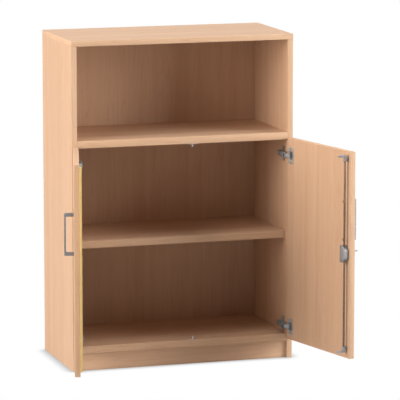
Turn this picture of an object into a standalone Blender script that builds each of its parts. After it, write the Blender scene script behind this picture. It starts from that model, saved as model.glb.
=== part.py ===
"""Two-door office cabinet with an open compartment on top, in metres, +Z up, front towards -Y.

The carcass stands on the floor with its footprint centred on the origin. The doors are modelled
closed and then swung open on their hinge links, which is the pose the cabinet is kept in.
"""
import math

import bmesh
import bpy
from mathutils import Matrix, Vector

# Carcass
WIDTH = 0.800
DEPTH = 0.390
HEIGHT = 1.150
SIDE_T = 0.019
TOP_T = 0.019
SHELF_T = 0.025
BOTTOM_T = 0.025
PLINTH_H = 0.062
PLINTH_T = 0.019
PLINTH_RECESS = 0.010
BACK_T = 0.008
BACK_INSET = 0.016
GROOVE_DEPTH = 0.008
MIDDLE_SHELF_TOP = 0.805
ADJUSTABLE_SHELF_TOP = 0.452
ADJUSTABLE_SHELF_SETBACK = 0.025
ADJUSTABLE_SHELF_PLAY = 0.001
EDGE_RADIUS = 0.001
FIT = 0.0003

# Shelf supports
SUPPORT_SHANK_R = 0.0025
SUPPORT_STUB_R = 0.0035
SUPPORT_IN_SIDE = 0.009
SUPPORT_REACH = 0.009
SUPPORT_INSET = 0.045

# Doors
DOOR_T = 0.019
DOOR_GAP = 0.003
DOOR_REVEAL = 0.001
CENTRE_GAP = 0.003
DOOR_OVER_SHELF = 0.0065
DOOR_OVER_BOTTOM = 0.0165
RIGHT_OPENING = math.radians(103.4)
LEFT_OPENING = math.radians(104.8)
STRIP_T = 0.0075
STRIP_W = 0.020
STRIP_PAST_EDGE = 0.008
STRIP_END_GAP = 0.0015

# Concealed hinges; s runs inwards from the side's inner face, t forwards from the carcass front
HINGE_FROM_TOP = 0.0605
HINGE_FROM_BOTTOM = 0.0465
CUP_R = 0.0175
CUP_WALL = 0.0012
CUP_DEPTH = 0.0115
CUP_CENTRE_S = 0.0045
FLANGE_T = 0.0012
FLANGE_W = 0.029
FLANGE_H = 0.059
CUP_SCREW_Z = 0.024
ARM_PIVOT_S = 0.013
ARM_PIVOT_T = 0.0064
DOOR_PIVOT_S = -0.0045
DOOR_PIVOT_T = 0.0003
LINK_RATIO = -0.54
PIN_R = 0.00125
LINK_EYE_R = 0.0026
LINK_T = 0.0024
LINK_H = 0.0136
ARM_H = 0.020
ARM_S = 0.018
ARM_SHEET = 0.0014
ARM_LENGTH = 0.058
NOSE_R = 0.0032
NOSE_SHEET = 0.0016
PLATE_T = 0.002
PLATE_W = 0.022
PLATE_H = 0.052
PLATE_T_FROM_FRONT = 0.037
PLATE_SCREW_Z = 0.016
BOSS_LENGTH = 0.040

# Screw holes of the hinge plates, the hinge cups and the strikers
SCREW_HOLE_R = 0.0037

# Bow handles
HANDLE_FROM_EDGE = 0.0475
HANDLE_ABOVE_DOOR_BOTTOM = 0.4755
HANDLE_CENTRES = 0.132
HANDLE_STANDOFF = 0.033
HANDLE_GRIP_T = 0.0065
HANDLE_LEG_H = 0.012
HANDLE_W = 0.012
HANDLE_CORNER_R = 0.004
HANDLE_SCREW_R = 0.002
HANDLE_SCREW_HEAD_R = 0.004
HANDLE_SCREW_HEAD_T = 0.002
HANDLE_SCREW_IN_LEG = 0.010

# Turning-rod lock on the right door; depths run inwards from the door's inner face
LOCK_ABOVE_DOOR_BOTTOM = 0.3695
LOCK_FROM_EDGE = 0.0255
ROD_FROM_EDGE = 0.0185
ROD_DEPTH = 0.012
ROD_R = 0.0035
CASE_W = 0.0265
CASE_H = 0.060
CASE_CENTRE_BELOW_KEY = 0.006
CASE_CUT_W = 0.012
CASE_CUT_H = 0.016
CASE_DEPTH = 0.0205
CASE_EDGE_ROOM = 0.008
CASE_BEVEL = 0.003
DRIVER_R = 0.0055
DRIVER_H = 0.014
BARREL_R = 0.008
BARREL_WALL = 0.0024
BARREL_PROUD = 0.0035
BARREL_IN_CASE = 0.004
ROSETTE_R = 0.013
ROSETTE_T = 0.0022
KEY_T = 0.002
KEY_BLADE_W = 0.008
KEY_BLADE_IN = 0.017
KEY_NECK = 0.005
KEY_BOW_R = 0.010
KEY_HOLE_R = 0.0022
HOOK_SLEEVE_R = 0.0055
HOOK_SLEEVE_H = 0.012
HOOK_ARM_LENGTH = 0.031
HOOK_ARM_W = 0.005
HOOK_ARM_T = 0.003
HOOK_WEB_T = 0.002
HOOK_WEB_H = 0.004
HOOK_CLEARANCE = 0.005
GUIDE_R = 0.0065
GUIDE_H = 0.008
GUIDE_FOOT_W = 0.022
GUIDE_FOOT_T = 0.0022
GUIDE_GAP = 0.0006

# Strikers the hooks turn behind
STRIKER_PIN_R = 0.0025
STRIKER_PIN_REACH = 0.0115
STRIKER_FROM_ROD = 0.0133
STRIKER_PLATE_W = 0.030
STRIKER_PLATE_D = 0.0085
STRIKER_PLATE_T = 0.0014
STRIKER_PLAY = 0.0005
STRIKER_MARGIN = 0.0008
STRIKER_SCREW_X = 0.0095
STRIKER_HOLE_R = 0.0022

# Facets of round pieces
FINE_STEPS = 24
ROUND_STEPS = 16
SMALL_STEPS = 10
ARC_STEPS = 5

# Places worked out from the sizes above
FRONT_Y = -DEPTH / 2
BACK_FACE_Y = DEPTH / 2 - BACK_INSET - BACK_T
INNER_X = WIDTH / 2 - SIDE_T
SIDE_TOP = HEIGHT - TOP_T
BOTTOM_TOP = PLINTH_H + BOTTOM_T
MIDDLE_SHELF_LOW = MIDDLE_SHELF_TOP - SHELF_T
ADJUSTABLE_SHELF_LOW = ADJUSTABLE_SHELF_TOP - SHELF_T
DOOR_LOW = BOTTOM_TOP - DOOR_OVER_BOTTOM
DOOR_HIGH = MIDDLE_SHELF_LOW + DOOR_OVER_SHELF
DOOR_W = (WIDTH - 2 * DOOR_REVEAL - CENTRE_GAP) / 2
HINGE_Z = {"upper": DOOR_HIGH - HINGE_FROM_TOP, "lower": DOOR_LOW + HINGE_FROM_BOTTOM}
HANDLE_Z = DOOR_LOW + HANDLE_ABOVE_DOOR_BOTTOM
LOCK_Z = DOOR_LOW + LOCK_ABOVE_DOOR_BOTTOM
LOCK_U = DOOR_W - LOCK_FROM_EDGE
ROD_U = DOOR_W - ROD_FROM_EDGE
HANDLE_U = DOOR_W - HANDLE_FROM_EDGE
RIGHT = 1
LEFT = -1
SIDE_NAMES = {RIGHT: "right", LEFT: "left"}


# Scene, materials and frames

def clear_scene():
    for obj in list(bpy.data.objects):
        bpy.data.objects.remove(obj, do_unlink=True)


def new_collection(name, hidden=False):
    collection = bpy.data.collections.new(name)
    bpy.context.scene.collection.children.link(collection)
    collection.hide_render = hidden
    return collection


def new_material(name, colour, roughness, metallic=0.0):
    material = bpy.data.materials.new(name)
    material.use_nodes = True
    shader = material.node_tree.nodes["Principled BSDF"]
    shader.inputs["Base Color"].default_value = (*colour, 1.0)
    shader.inputs["Roughness"].default_value = roughness
    shader.inputs["Metallic"].default_value = metallic
    return material


clear_scene()
PARTS = new_collection("office_cabinet")
TOOLS = new_collection("cutters", hidden=True)
BEECH = new_material("beech_board", (0.78, 0.52, 0.34), 0.45)
STRIP_PLASTIC = new_material("strip_plastic", (0.80, 0.58, 0.27), 0.5)
HINGE_STEEL = new_material("hinge_steel", (0.42, 0.44, 0.45), 0.32, 1.0)
SCREW_STEEL = new_material("screw_steel", (0.50, 0.50, 0.50), 0.35, 1.0)
HANDLE_METAL = new_material("handle_metal", (0.38, 0.40, 0.41), 0.38, 1.0)
LOCK_ZINC = new_material("lock_zinc", (0.44, 0.44, 0.46), 0.38, 1.0)
ROD_STEEL = new_material("rod_steel", (0.20, 0.14, 0.11), 0.42, 0.6)


def new_frame(name, closed_place, parent=None, turn=0.0):
    """An empty on a joint's axis: closed_place is where the axis runs while the doors are shut."""
    empty = bpy.data.objects.new(name, None)
    PARTS.objects.link(empty)
    place = Vector(closed_place)
    empty.location = place
    if parent is not None:
        empty.parent = parent["empty"]
        empty.location = place - parent["place"]
    empty.rotation_euler.z = turn
    return {"empty": empty, "place": place}


# Mesh helpers

def box(bm, low, high):
    corners = [Vector((min(a, b), max(a, b))) for a, b in zip(low, high)]
    size = Vector([pair[1] - pair[0] for pair in corners])
    middle = Vector([(pair[0] + pair[1]) / 2 for pair in corners])
    matrix = Matrix.Translation(middle) @ Matrix.Diagonal((*size, 1.0))
    bmesh.ops.create_cube(bm, size=1.0, matrix=matrix)


def along(foot, direction):
    """The matrix that sets a shape standing on the origin onto foot, along direction."""
    return Matrix.Translation(foot) @ Vector(direction).to_track_quat("Z", "Y").to_matrix().to_4x4()


def rod(bm, foot, direction, radius, length, steps=SMALL_STEPS):
    stand = Matrix.Translation((0, 0, length / 2))
    bmesh.ops.create_cone(bm, cap_ends=True, segments=steps, radius1=radius, radius2=radius,
                          depth=length, matrix=along(foot, direction) @ stand)


def absorb(bm, holder, matrix):
    """Adds the finished mesh of a helper object to a piece and removes the helper."""
    depsgraph = bpy.context.evaluated_depsgraph_get()
    mesh = bpy.data.meshes.new_from_object(holder.evaluated_get(depsgraph))
    mesh.transform(matrix)
    bm.from_mesh(mesh)
    bpy.data.meshes.remove(mesh)
    bpy.data.objects.remove(holder, do_unlink=True)


def turned(bm, foot, direction, profile, steps, hollow=False):
    """Turns a profile of (radius, height) pairs round an axis; a hollow one closes on itself."""
    count = len(profile)
    edges = [(i, i + 1) for i in range(count - 1)]
    if hollow:
        edges.append((count - 1, 0))
    mesh = bpy.data.meshes.new("profile")
    mesh.from_pydata([(radius, 0, height) for radius, height in profile], edges, [])
    holder = bpy.data.objects.new("profile", mesh)
    TOOLS.objects.link(holder)
    screw = holder.modifiers.new("turned", "SCREW")
    screw.axis = "Z"
    screw.steps = steps
    screw.render_steps = steps
    screw.use_merge_vertices = True
    screw.merge_threshold = 0.00001
    absorb(bm, holder, along(foot, direction))
    bpy.data.meshes.remove(mesh)


def arc(centre, radius, start, end, steps=ARC_STEPS):
    """Points on an arc of a flat outline, angles in degrees."""
    angles = [math.radians(start + (end - start) * i / steps) for i in range(steps + 1)]
    return [(centre[0] + radius * math.cos(a), centre[1] + radius * math.sin(a)) for a in angles]


def plate(bm, outlines, thickness, matrix):
    """A flat plate from closed outlines, holes after the rim, centred on its plane and then placed."""
    curve = bpy.data.curves.new("outline", "CURVE")
    curve.dimensions = "2D"
    curve.fill_mode = "BOTH"
    curve.extrude = thickness / 2
    for outline in outlines:
        spline = curve.splines.new("POLY")
        spline.points.add(len(outline) - 1)
        for point, (x, y) in zip(spline.points, outline):
            point.co = (x, y, 0.0, 1.0)
        spline.use_cyclic_u = True
    holder = bpy.data.objects.new("outline", curve)
    TOOLS.objects.link(holder)
    absorb(bm, holder, matrix)
    bpy.data.curves.remove(curve)


def finish_mesh(bm, name, frame):
    bmesh.ops.remove_doubles(bm, verts=bm.verts, dist=1e-6)
    bmesh.ops.recalc_face_normals(bm, faces=bm.faces)
    mesh = bpy.data.meshes.new(name)
    bm.to_mesh(mesh)
    bm.free()
    mesh.transform(Matrix.Translation(-frame["place"]))
    obj = bpy.data.objects.new(name, mesh)
    obj.parent = frame["empty"]
    return obj


def part(name, bm, material, frame, bevel=0.0, smooth=False):
    obj = finish_mesh(bm, name, frame)
    PARTS.objects.link(obj)
    obj.data.materials.append(material)
    if smooth:
        obj.data.shade_smooth()
        obj.data.set_sharp_from_angle(angle=math.radians(35))
    if bevel:
        rounding = obj.modifiers.new("rounded edges", "BEVEL")
        rounding.width = bevel
        rounding.segments = 2
        rounding.limit_method = "ANGLE"
    return obj


def combine(obj, operation, name, bm, frame):
    """Cuts a solid out of a part, or joins one to it, with a hidden tool body."""
    tool = finish_mesh(bm, name, frame)
    TOOLS.objects.link(tool)
    tool.hide_render = True
    tool.display_type = "WIRE"
    modifier = obj.modifiers.new(name, "BOOLEAN")
    modifier.operation = operation
    modifier.object = tool


# Frames: the carcass, each door's hinge links, each door, and the lock's turning pieces

def hinge_point(side, s, t, z):
    """A point near a hinge: s inwards from the side's inner face, t forwards from the carcass front."""
    return Vector((side * (INNER_X - s), FRONT_Y - t, z))


def door_point(side, u, v, z):
    """A point of a closed door: u from its hinge edge, v outwards from its inner face."""
    return Vector((side * (WIDTH / 2 - DOOR_REVEAL - u), FRONT_Y - DOOR_GAP - v, z))


ARM_PIVOT_FRONT = DOOR_GAP + ARM_PIVOT_T
DOOR_PIVOT_FRONT = DOOR_GAP + DOOR_PIVOT_T
CARCASS = new_frame("carcass_origin", (0, 0, 0))
LINKS = {}
DOORS = {}
for hand, opening in ((RIGHT, RIGHT_OPENING), (LEFT, LEFT_OPENING)):
    LINKS[hand] = new_frame(SIDE_NAMES[hand] + "_hinge_links_axis",
                            hinge_point(hand, ARM_PIVOT_S, ARM_PIVOT_FRONT, 0),
                            CARCASS, hand * LINK_RATIO * opening)
    DOORS[hand] = new_frame(SIDE_NAMES[hand] + "_door_axis",
                            hinge_point(hand, DOOR_PIVOT_S, DOOR_PIVOT_FRONT, 0),
                            LINKS[hand], hand * (1 - LINK_RATIO) * opening)
RODS = new_frame("lock_rods_axis", door_point(RIGHT, ROD_U, -ROD_DEPTH, LOCK_Z), DOORS[RIGHT])
PLUG = new_frame("lock_plug_axis", door_point(RIGHT, LOCK_U, DOOR_T, LOCK_Z), DOORS[RIGHT])


# Carcass boards

PLINTH_FRONT_Y = FRONT_Y + PLINTH_RECESS
SUPPORT_Z = ADJUSTABLE_SHELF_LOW - FIT - SUPPORT_STUB_R
ADJUSTABLE_FRONT_Y = FRONT_Y + ADJUSTABLE_SHELF_SETBACK
ADJUSTABLE_BACK_Y = BACK_FACE_Y - ADJUSTABLE_SHELF_PLAY
SUPPORT_Y = {"front": ADJUSTABLE_FRONT_Y + SUPPORT_INSET, "back": ADJUSTABLE_BACK_Y - SUPPORT_INSET}
GROOVE_Y = (BACK_FACE_Y - FIT, BACK_FACE_Y + BACK_T + FIT)
OVERRUN = 2 * EDGE_RADIUS


def build_side(hand):
    """A side board, grooved for the back panel and bored for the shelf supports."""
    bm = bmesh.new()
    box(bm, (hand * INNER_X, FRONT_Y, 0), (hand * WIDTH / 2, -FRONT_Y, SIDE_TOP - FIT))
    side = part(SIDE_NAMES[hand] + "_side", bm, BEECH, CARCASS, EDGE_RADIUS)
    cut = bmesh.new()
    box(cut, (hand * (INNER_X - OVERRUN), GROOVE_Y[0], PLINTH_H - FIT),
        (hand * (INNER_X + GROOVE_DEPTH), GROOVE_Y[1], SIDE_TOP + OVERRUN))
    for y in SUPPORT_Y.values():
        rod(cut, (hand * (INNER_X - OVERRUN), y, SUPPORT_Z), (hand, 0, 0),
            SUPPORT_SHANK_R + FIT, SUPPORT_IN_SIDE + OVERRUN + FIT)
    combine(side, "DIFFERENCE", SIDE_NAMES[hand] + "_side_cuts", cut, CARCASS)


def build_top():
    bm = bmesh.new()
    box(bm, (-WIDTH / 2, FRONT_Y, SIDE_TOP), (WIDTH / 2, -FRONT_Y, HEIGHT))
    top = part("top_board", bm, BEECH, CARCASS, EDGE_RADIUS)
    cut = bmesh.new()
    reach = INNER_X + GROOVE_DEPTH
    box(cut, (-reach, GROOVE_Y[0], SIDE_TOP - OVERRUN), (reach, GROOVE_Y[1], SIDE_TOP + GROOVE_DEPTH))
    combine(top, "DIFFERENCE", "top_board_groove", cut, CARCASS)


def build_crossboard(name, front, back, low, high, play):
    """A board between the sides, with this much play at each end."""
    bm = bmesh.new()
    end = INNER_X - play
    box(bm, (-end, front, low), (end, back, high))
    part(name, bm, BEECH, CARCASS, EDGE_RADIUS)


def build_inside():
    back = BACK_FACE_Y - FIT
    build_crossboard("middle_shelf", FRONT_Y, back, MIDDLE_SHELF_LOW, MIDDLE_SHELF_TOP, FIT)
    build_crossboard("bottom_board", FRONT_Y, back, PLINTH_H, BOTTOM_TOP, FIT)
    build_crossboard("plinth_board", PLINTH_FRONT_Y, PLINTH_FRONT_Y + PLINTH_T, 0, PLINTH_H - FIT, FIT)
    build_crossboard("adjustable_shelf", ADJUSTABLE_FRONT_Y, ADJUSTABLE_BACK_Y,
                     ADJUSTABLE_SHELF_LOW, ADJUSTABLE_SHELF_TOP, ADJUSTABLE_SHELF_PLAY)
    bm = bmesh.new()
    reach = INNER_X + GROOVE_DEPTH - FIT
    box(bm, (-reach, BACK_FACE_Y, PLINTH_H), (reach, BACK_FACE_Y + BACK_T, SIDE_TOP + GROOVE_DEPTH - FIT))
    part("back_panel", bm, BEECH, CARCASS)
    shank = SUPPORT_IN_SIDE
    profile = [(0, shank + SUPPORT_REACH), (SUPPORT_STUB_R, shank + SUPPORT_REACH),
               (SUPPORT_STUB_R, shank + FIT), (SUPPORT_SHANK_R, shank + FIT), (SUPPORT_SHANK_R, 0), (0, 0)]
    for hand in (RIGHT, LEFT):
        for place, y in SUPPORT_Y.items():
            bm = bmesh.new()
            foot = (hand * (INNER_X + SUPPORT_IN_SIDE), y, SUPPORT_Z)
            turned(bm, foot, (-hand, 0, 0), profile, ROUND_STEPS)
            part("shelf_support_%s_%s" % (place, SIDE_NAMES[hand]), bm, SCREW_STEEL, CARCASS, smooth=True)


# Hinges

def flat_in_z(centre):
    """Places a plate's outline, drawn in x and y, level at a height."""
    return Matrix.Translation(centre)


def dumbbell(start, end, eye_r, neck):
    """Outline of a link: a round eye at each end and a straight neck between them."""
    heading = math.degrees(math.atan2(end[1] - start[1], end[0] - start[0]))
    half = math.degrees(math.asin(neck / 2 / eye_r))
    return (arc(end, eye_r, heading - 180 + half, heading + 180 - half, 2 * ARC_STEPS)
            + arc(start, eye_r, heading + half, heading + 360 - half, 2 * ARC_STEPS))


def circle(centre, radius, steps=SMALL_STEPS):
    return arc(centre, radius, 0, 360 - 360 / steps, steps - 1)


def build_link(hand, level):
    z = HINGE_Z[level]
    arm_pivot = hinge_point(hand, ARM_PIVOT_S, ARM_PIVOT_FRONT, z)
    door_pivot = hinge_point(hand, DOOR_PIVOT_S, DOOR_PIVOT_FRONT, z)
    start = arm_pivot.xy
    end = door_pivot.xy
    bm = bmesh.new()
    outlines = [dumbbell(start, end, LINK_EYE_R, LINK_T)]
    outlines += [circle(place, PIN_R + FIT) for place in (start, end)]
    plate(bm, outlines, LINK_H, flat_in_z((0, 0, z)))
    part("%s_%s_hinge_link" % (SIDE_NAMES[hand], level), bm, HINGE_STEEL, LINKS[hand], smooth=True)


def build_cup(hand, level):
    z = HINGE_Z[level]
    inner_face = DOOR_GAP
    centre = hinge_point(hand, CUP_CENTRE_S, inner_face, z)
    outwards = (0, -1, 0)
    lip = centre + Vector((0, FIT, 0))
    bm = bmesh.new()
    depth = CUP_DEPTH
    bore = CUP_R - CUP_WALL
    profile = [(0, depth), (CUP_R, depth), (CUP_R, 0), (bore, 0), (bore, depth - CUP_WALL),
               (0, depth - CUP_WALL)]
    turned(bm, lip, outwards, profile, FINE_STEPS)
    cup = part("%s_%s_hinge_cup" % (SIDE_NAMES[hand], level), bm, HINGE_STEEL, DOORS[hand], smooth=True)
    ears = bmesh.new()
    sink = FLANGE_T
    for way in (1, -1):
        root = (CUP_R + bore) / 2
        chord = math.sqrt(max(root ** 2 - (FLANGE_W / 2) ** 2, 0.0))
        screw = (0, way * CUP_SCREW_Z)
        rim = [(way * FLANGE_W / 2, way * chord), (way * FLANGE_W / 2, way * FLANGE_H / 2),
               (-way * FLANGE_W / 2, way * FLANGE_H / 2), (-way * FLANGE_W / 2, way * chord)]
        rim += [(root * math.sin(a), way * root * math.cos(a))
                for a in [-way * math.asin(FLANGE_W / 2 / root) * (1 - i / 2) for i in (1, 2, 3)]]
        upright = Matrix.Translation(lip + Vector((0, sink / 2, 0))) @ Matrix.Rotation(math.pi / 2, 4, "X")
        plate(ears, [rim, circle(screw, SCREW_HOLE_R)], sink, upright)
    combine(cup, "UNION", cup.name + "_ears", ears, DOORS[hand])


def build_arm(hand, level):
    z = HINGE_Z[level]
    bm = bmesh.new()
    front = -ARM_SHEET
    box(bm, hinge_point(hand, PLATE_T + 2 * FIT, front, z - ARM_H / 2),
        hinge_point(hand, ARM_S, front - ARM_LENGTH, z + ARM_H / 2))
    arm = part("%s_%s_hinge_arm" % (SIDE_NAMES[hand], level), bm, HINGE_STEEL, CARCASS, smooth=True)
    pocket = bmesh.new()
    room = ARM_H / 2 - ARM_SHEET
    box(pocket, hinge_point(hand, -ARM_SHEET, front + ARM_SHEET, z - room),
        hinge_point(hand, ARM_S - ARM_SHEET, front - ARM_LENGTH + ARM_SHEET, z + room))
    combine(arm, "DIFFERENCE", arm.name + "_pocket", pocket, CARCASS)
    nose = bmesh.new()
    pivot = hinge_point(hand, ARM_PIVOT_S, ARM_PIVOT_FRONT, z).xy
    root_y = FRONT_Y + 3 * NOSE_R
    round_end = arc(pivot, NOSE_R, 180, 360, 2 * ARC_STEPS)
    rim = round_end + [(pivot.x + NOSE_R, root_y), (pivot.x - NOSE_R, root_y)]
    cheek_z = room + FIT - NOSE_SHEET / 2
    for way in (1, -1):
        plate(nose, [rim, circle(pivot, PIN_R + FIT)], NOSE_SHEET, flat_in_z((0, 0, z + way * cheek_z)))
    combine(arm, "UNION", arm.name + "_nose", nose, CARCASS)


def build_plate(hand, level):
    z = HINGE_Z[level]
    outline = [(-PLATE_W / 2, -PLATE_H / 2), (PLATE_W / 2, -PLATE_H / 2),
               (PLATE_W / 2, PLATE_H / 2), (-PLATE_W / 2, PLATE_H / 2)]
    holes = [circle((0, way * PLATE_SCREW_Z), SCREW_HOLE_R) for way in (1, -1)]
    middle = hinge_point(hand, FIT + PLATE_T / 2, -PLATE_T_FROM_FRONT, z)
    upright = Matrix.Rotation(math.pi / 2, 4, "Z") @ Matrix.Rotation(math.pi / 2, 4, "X")
    bm = bmesh.new()
    plate(bm, [outline] + holes, PLATE_T, Matrix.Translation(middle) @ upright)
    base = part("%s_%s_hinge_plate" % (SIDE_NAMES[hand], level), bm, HINGE_STEEL, CARCASS)
    boss = bmesh.new()
    half = ARM_H / 2 - ARM_SHEET - FIT
    box(boss, hinge_point(hand, PLATE_T / 2, -PLATE_T_FROM_FRONT + BOSS_LENGTH / 2, z - half),
        hinge_point(hand, ARM_S - ARM_SHEET - FIT, -PLATE_T_FROM_FRONT - BOSS_LENGTH / 2, z + half))
    combine(base, "UNION", base.name + "_boss", boss, CARCASS)


def build_hinge_pins(hand, level):
    z = HINGE_Z[level]
    name = "%s_%s_hinge_" % (SIDE_NAMES[hand], level)
    half = ARM_H / 2 - ARM_SHEET + FIT
    bm = bmesh.new()
    rod(bm, hinge_point(hand, ARM_PIVOT_S, ARM_PIVOT_FRONT, z - half), (0, 0, 1), PIN_R, 2 * half)
    part(name + "arm_pin", bm, HINGE_STEEL, CARCASS, smooth=True)
    # The pin spans the cup's bore, whose facets come a little inside its circle.
    clear_r = (CUP_R - CUP_WALL) * math.cos(math.pi / FINE_STEPS)
    half = math.sqrt(clear_r ** 2 - (CUP_CENTRE_S - DOOR_PIVOT_S + PIN_R) ** 2) - FIT
    bm = bmesh.new()
    rod(bm, hinge_point(hand, DOOR_PIVOT_S, DOOR_PIVOT_FRONT, z - half), (0, 0, 1), PIN_R, 2 * half)
    part(name + "cup_pin", bm, HINGE_STEEL, DOORS[hand], smooth=True)


# Doors and handles

HANDLE_LEG_Z = {"upper": HANDLE_Z + HANDLE_CENTRES / 2, "lower": HANDLE_Z - HANDLE_CENTRES / 2}
HOOK_TOP = MIDDLE_SHELF_LOW - HOOK_CLEARANCE
HOOK_LOW = BOTTOM_TOP + HOOK_CLEARANCE
GUIDE_OFFSET = HOOK_SLEEVE_H + GUIDE_GAP + GUIDE_H / 2
GUIDE_Z = {"upper": HOOK_TOP - GUIDE_OFFSET, "lower": HOOK_LOW + GUIDE_OFFSET}


def build_door(hand):
    """A door board, bored for the hinge cups, the handle's screws and, on the right, the lock."""
    bm = bmesh.new()
    box(bm, door_point(hand, 0, 0, DOOR_LOW), door_point(hand, DOOR_W, DOOR_T, DOOR_HIGH))
    door = part(SIDE_NAMES[hand] + "_door_panel", bm, BEECH, DOORS[hand], EDGE_RADIUS)
    cut = bmesh.new()
    outwards = Vector((0, -1, 0))
    for z in HINGE_Z.values():
        centre = hinge_point(hand, CUP_CENTRE_S, DOOR_GAP - OVERRUN, z)
        rod(cut, centre, outwards, CUP_R + FIT, CUP_DEPTH + OVERRUN + FIT, FINE_STEPS)
    for z in HANDLE_LEG_Z.values():
        rod(cut, door_point(hand, HANDLE_U, -OVERRUN, z), outwards, HANDLE_SCREW_R + FIT,
            DOOR_T + 2 * OVERRUN)
    if hand == RIGHT:
        rod(cut, door_point(hand, LOCK_U, -OVERRUN, LOCK_Z), outwards, BARREL_R + FIT,
            DOOR_T + 2 * OVERRUN, ROUND_STEPS)
    combine(door, "DIFFERENCE", door.name + "_holes", cut, DOORS[hand])


def build_strip():
    """The stop strip glued along the left door's free edge, which the right door closes over."""
    bm = bmesh.new()
    outer_u = DOOR_W + STRIP_PAST_EDGE
    box(bm, door_point(LEFT, outer_u - STRIP_W, -FIT, BOTTOM_TOP + STRIP_END_GAP),
        door_point(LEFT, outer_u, -FIT - STRIP_T, MIDDLE_SHELF_LOW - STRIP_END_GAP))
    part("left_door_stop_strip", bm, STRIP_PLASTIC, DOORS[LEFT], EDGE_RADIUS)


def build_handle(hand):
    """A bow handle: two legs and a grip cast in one, screwed on from inside the door."""
    half = (HANDLE_CENTRES + HANDLE_LEG_H) / 2
    inner = half - HANDLE_LEG_H
    reach = HANDLE_STANDOFF
    under = reach - HANDLE_GRIP_T
    radius = HANDLE_CORNER_R
    small = radius / 2
    outline = [(FIT, half)] + arc((reach - radius, half - radius), radius, 90, 0)
    outline += arc((reach - radius, radius - half), radius, 0, -90) + [(FIT, -half), (FIT, -inner)]
    outline += arc((under - small, small - inner), small, -90, 0)
    outline += arc((under - small, inner - small), small, 0, 90) + [(FIT, inner)]
    # The outline's x runs outwards from the door and its y upwards.
    outwards_and_up = Matrix(((0, 0, 1, 0), (-1, 0, 0, 0), (0, 1, 0, 0), (0, 0, 0, 1)))
    middle = Matrix.Translation(door_point(hand, HANDLE_U, DOOR_T, HANDLE_Z))
    bm = bmesh.new()
    plate(bm, [outline], HANDLE_W, middle @ outwards_and_up)
    handle = part(SIDE_NAMES[hand] + "_handle", bm, HANDLE_METAL, DOORS[hand], smooth=True)
    rounding = handle.modifiers.new("rounded edges", "BEVEL")
    rounding.width = small
    rounding.segments = 2
    rounding.limit_method = "ANGLE"
    rounding.angle_limit = math.radians(60)
    cut = bmesh.new()
    outwards = Vector((0, -1, 0))
    length = DOOR_T + HANDLE_SCREW_IN_LEG
    profile = [(0, length), (HANDLE_SCREW_R, length), (HANDLE_SCREW_R, 0), (HANDLE_SCREW_HEAD_R, 0),
               (HANDLE_SCREW_HEAD_R, -HANDLE_SCREW_HEAD_T), (0, -HANDLE_SCREW_HEAD_T)]
    for level, z in HANDLE_LEG_Z.items():
        rod(cut, door_point(hand, HANDLE_U, DOOR_T - FIT, z), outwards, HANDLE_SCREW_R + FIT,
            HANDLE_SCREW_IN_LEG + 3 * FIT)
        bm = bmesh.new()
        turned(bm, door_point(hand, HANDLE_U, -FIT, z), outwards, profile, ROUND_STEPS)
        part("%s_handle_%s_screw" % (SIDE_NAMES[hand], level), bm, SCREW_STEEL, DOORS[hand], smooth=True)
    combine(handle, "DIFFERENCE", handle.name + "_holes", cut, DOORS[hand])


# Lock

CASE_U = (DOOR_W - CASE_EDGE_ROOM - CASE_W, DOOR_W - CASE_EDGE_ROOM)
HOOK_DIRECTION = Vector((0, 1, 0))
ROD_AXIS = door_point(RIGHT, ROD_U, -ROD_DEPTH, 0)


def build_case():
    """A block on the door's inner face with the two corners next to the free edge cut off."""
    low = LOCK_Z - CASE_CENTRE_BELOW_KEY - CASE_H / 2
    high = low + CASE_H
    back_u, end_u = CASE_U
    rim = [(back_u, low), (back_u, high), (end_u - CASE_CUT_W, high), (end_u, high - CASE_CUT_H),
           (end_u, low + CASE_CUT_H), (end_u - CASE_CUT_W, low)]
    outline = [(door_point(RIGHT, u, 0, z).x, z) for u, z in rim]
    middle = Matrix.Translation((0, door_point(RIGHT, 0, -(CASE_DEPTH + FIT) / 2, 0).y, 0))
    bm = bmesh.new()
    plate(bm, [outline], CASE_DEPTH - FIT, middle @ Matrix.Rotation(math.pi / 2, 4, "X"))
    case = part("lock_case", bm, LOCK_ZINC, DOORS[RIGHT], CASE_BEVEL)
    cut = bmesh.new()
    far = CASE_H
    bore = ROD_R + FIT
    room = DRIVER_R + FIT
    chamber = DRIVER_H / 2 + FIT
    profile = [(0, -far), (bore, -far), (bore, -chamber), (room, -chamber),
               (room, chamber), (bore, chamber), (bore, far), (0, far)]
    turned(cut, ROD_AXIS + Vector((0, 0, LOCK_Z)), (0, 0, 1), profile, ROUND_STEPS)
    inwards = Vector((0, 1, 0))
    rod(cut, door_point(RIGHT, LOCK_U, FIT, LOCK_Z), inwards, BARREL_R + FIT, BARREL_IN_CASE + 2 * FIT,
        ROUND_STEPS)
    combine(case, "DIFFERENCE", "lock_case_bores", cut, DOORS[RIGHT])


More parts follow.
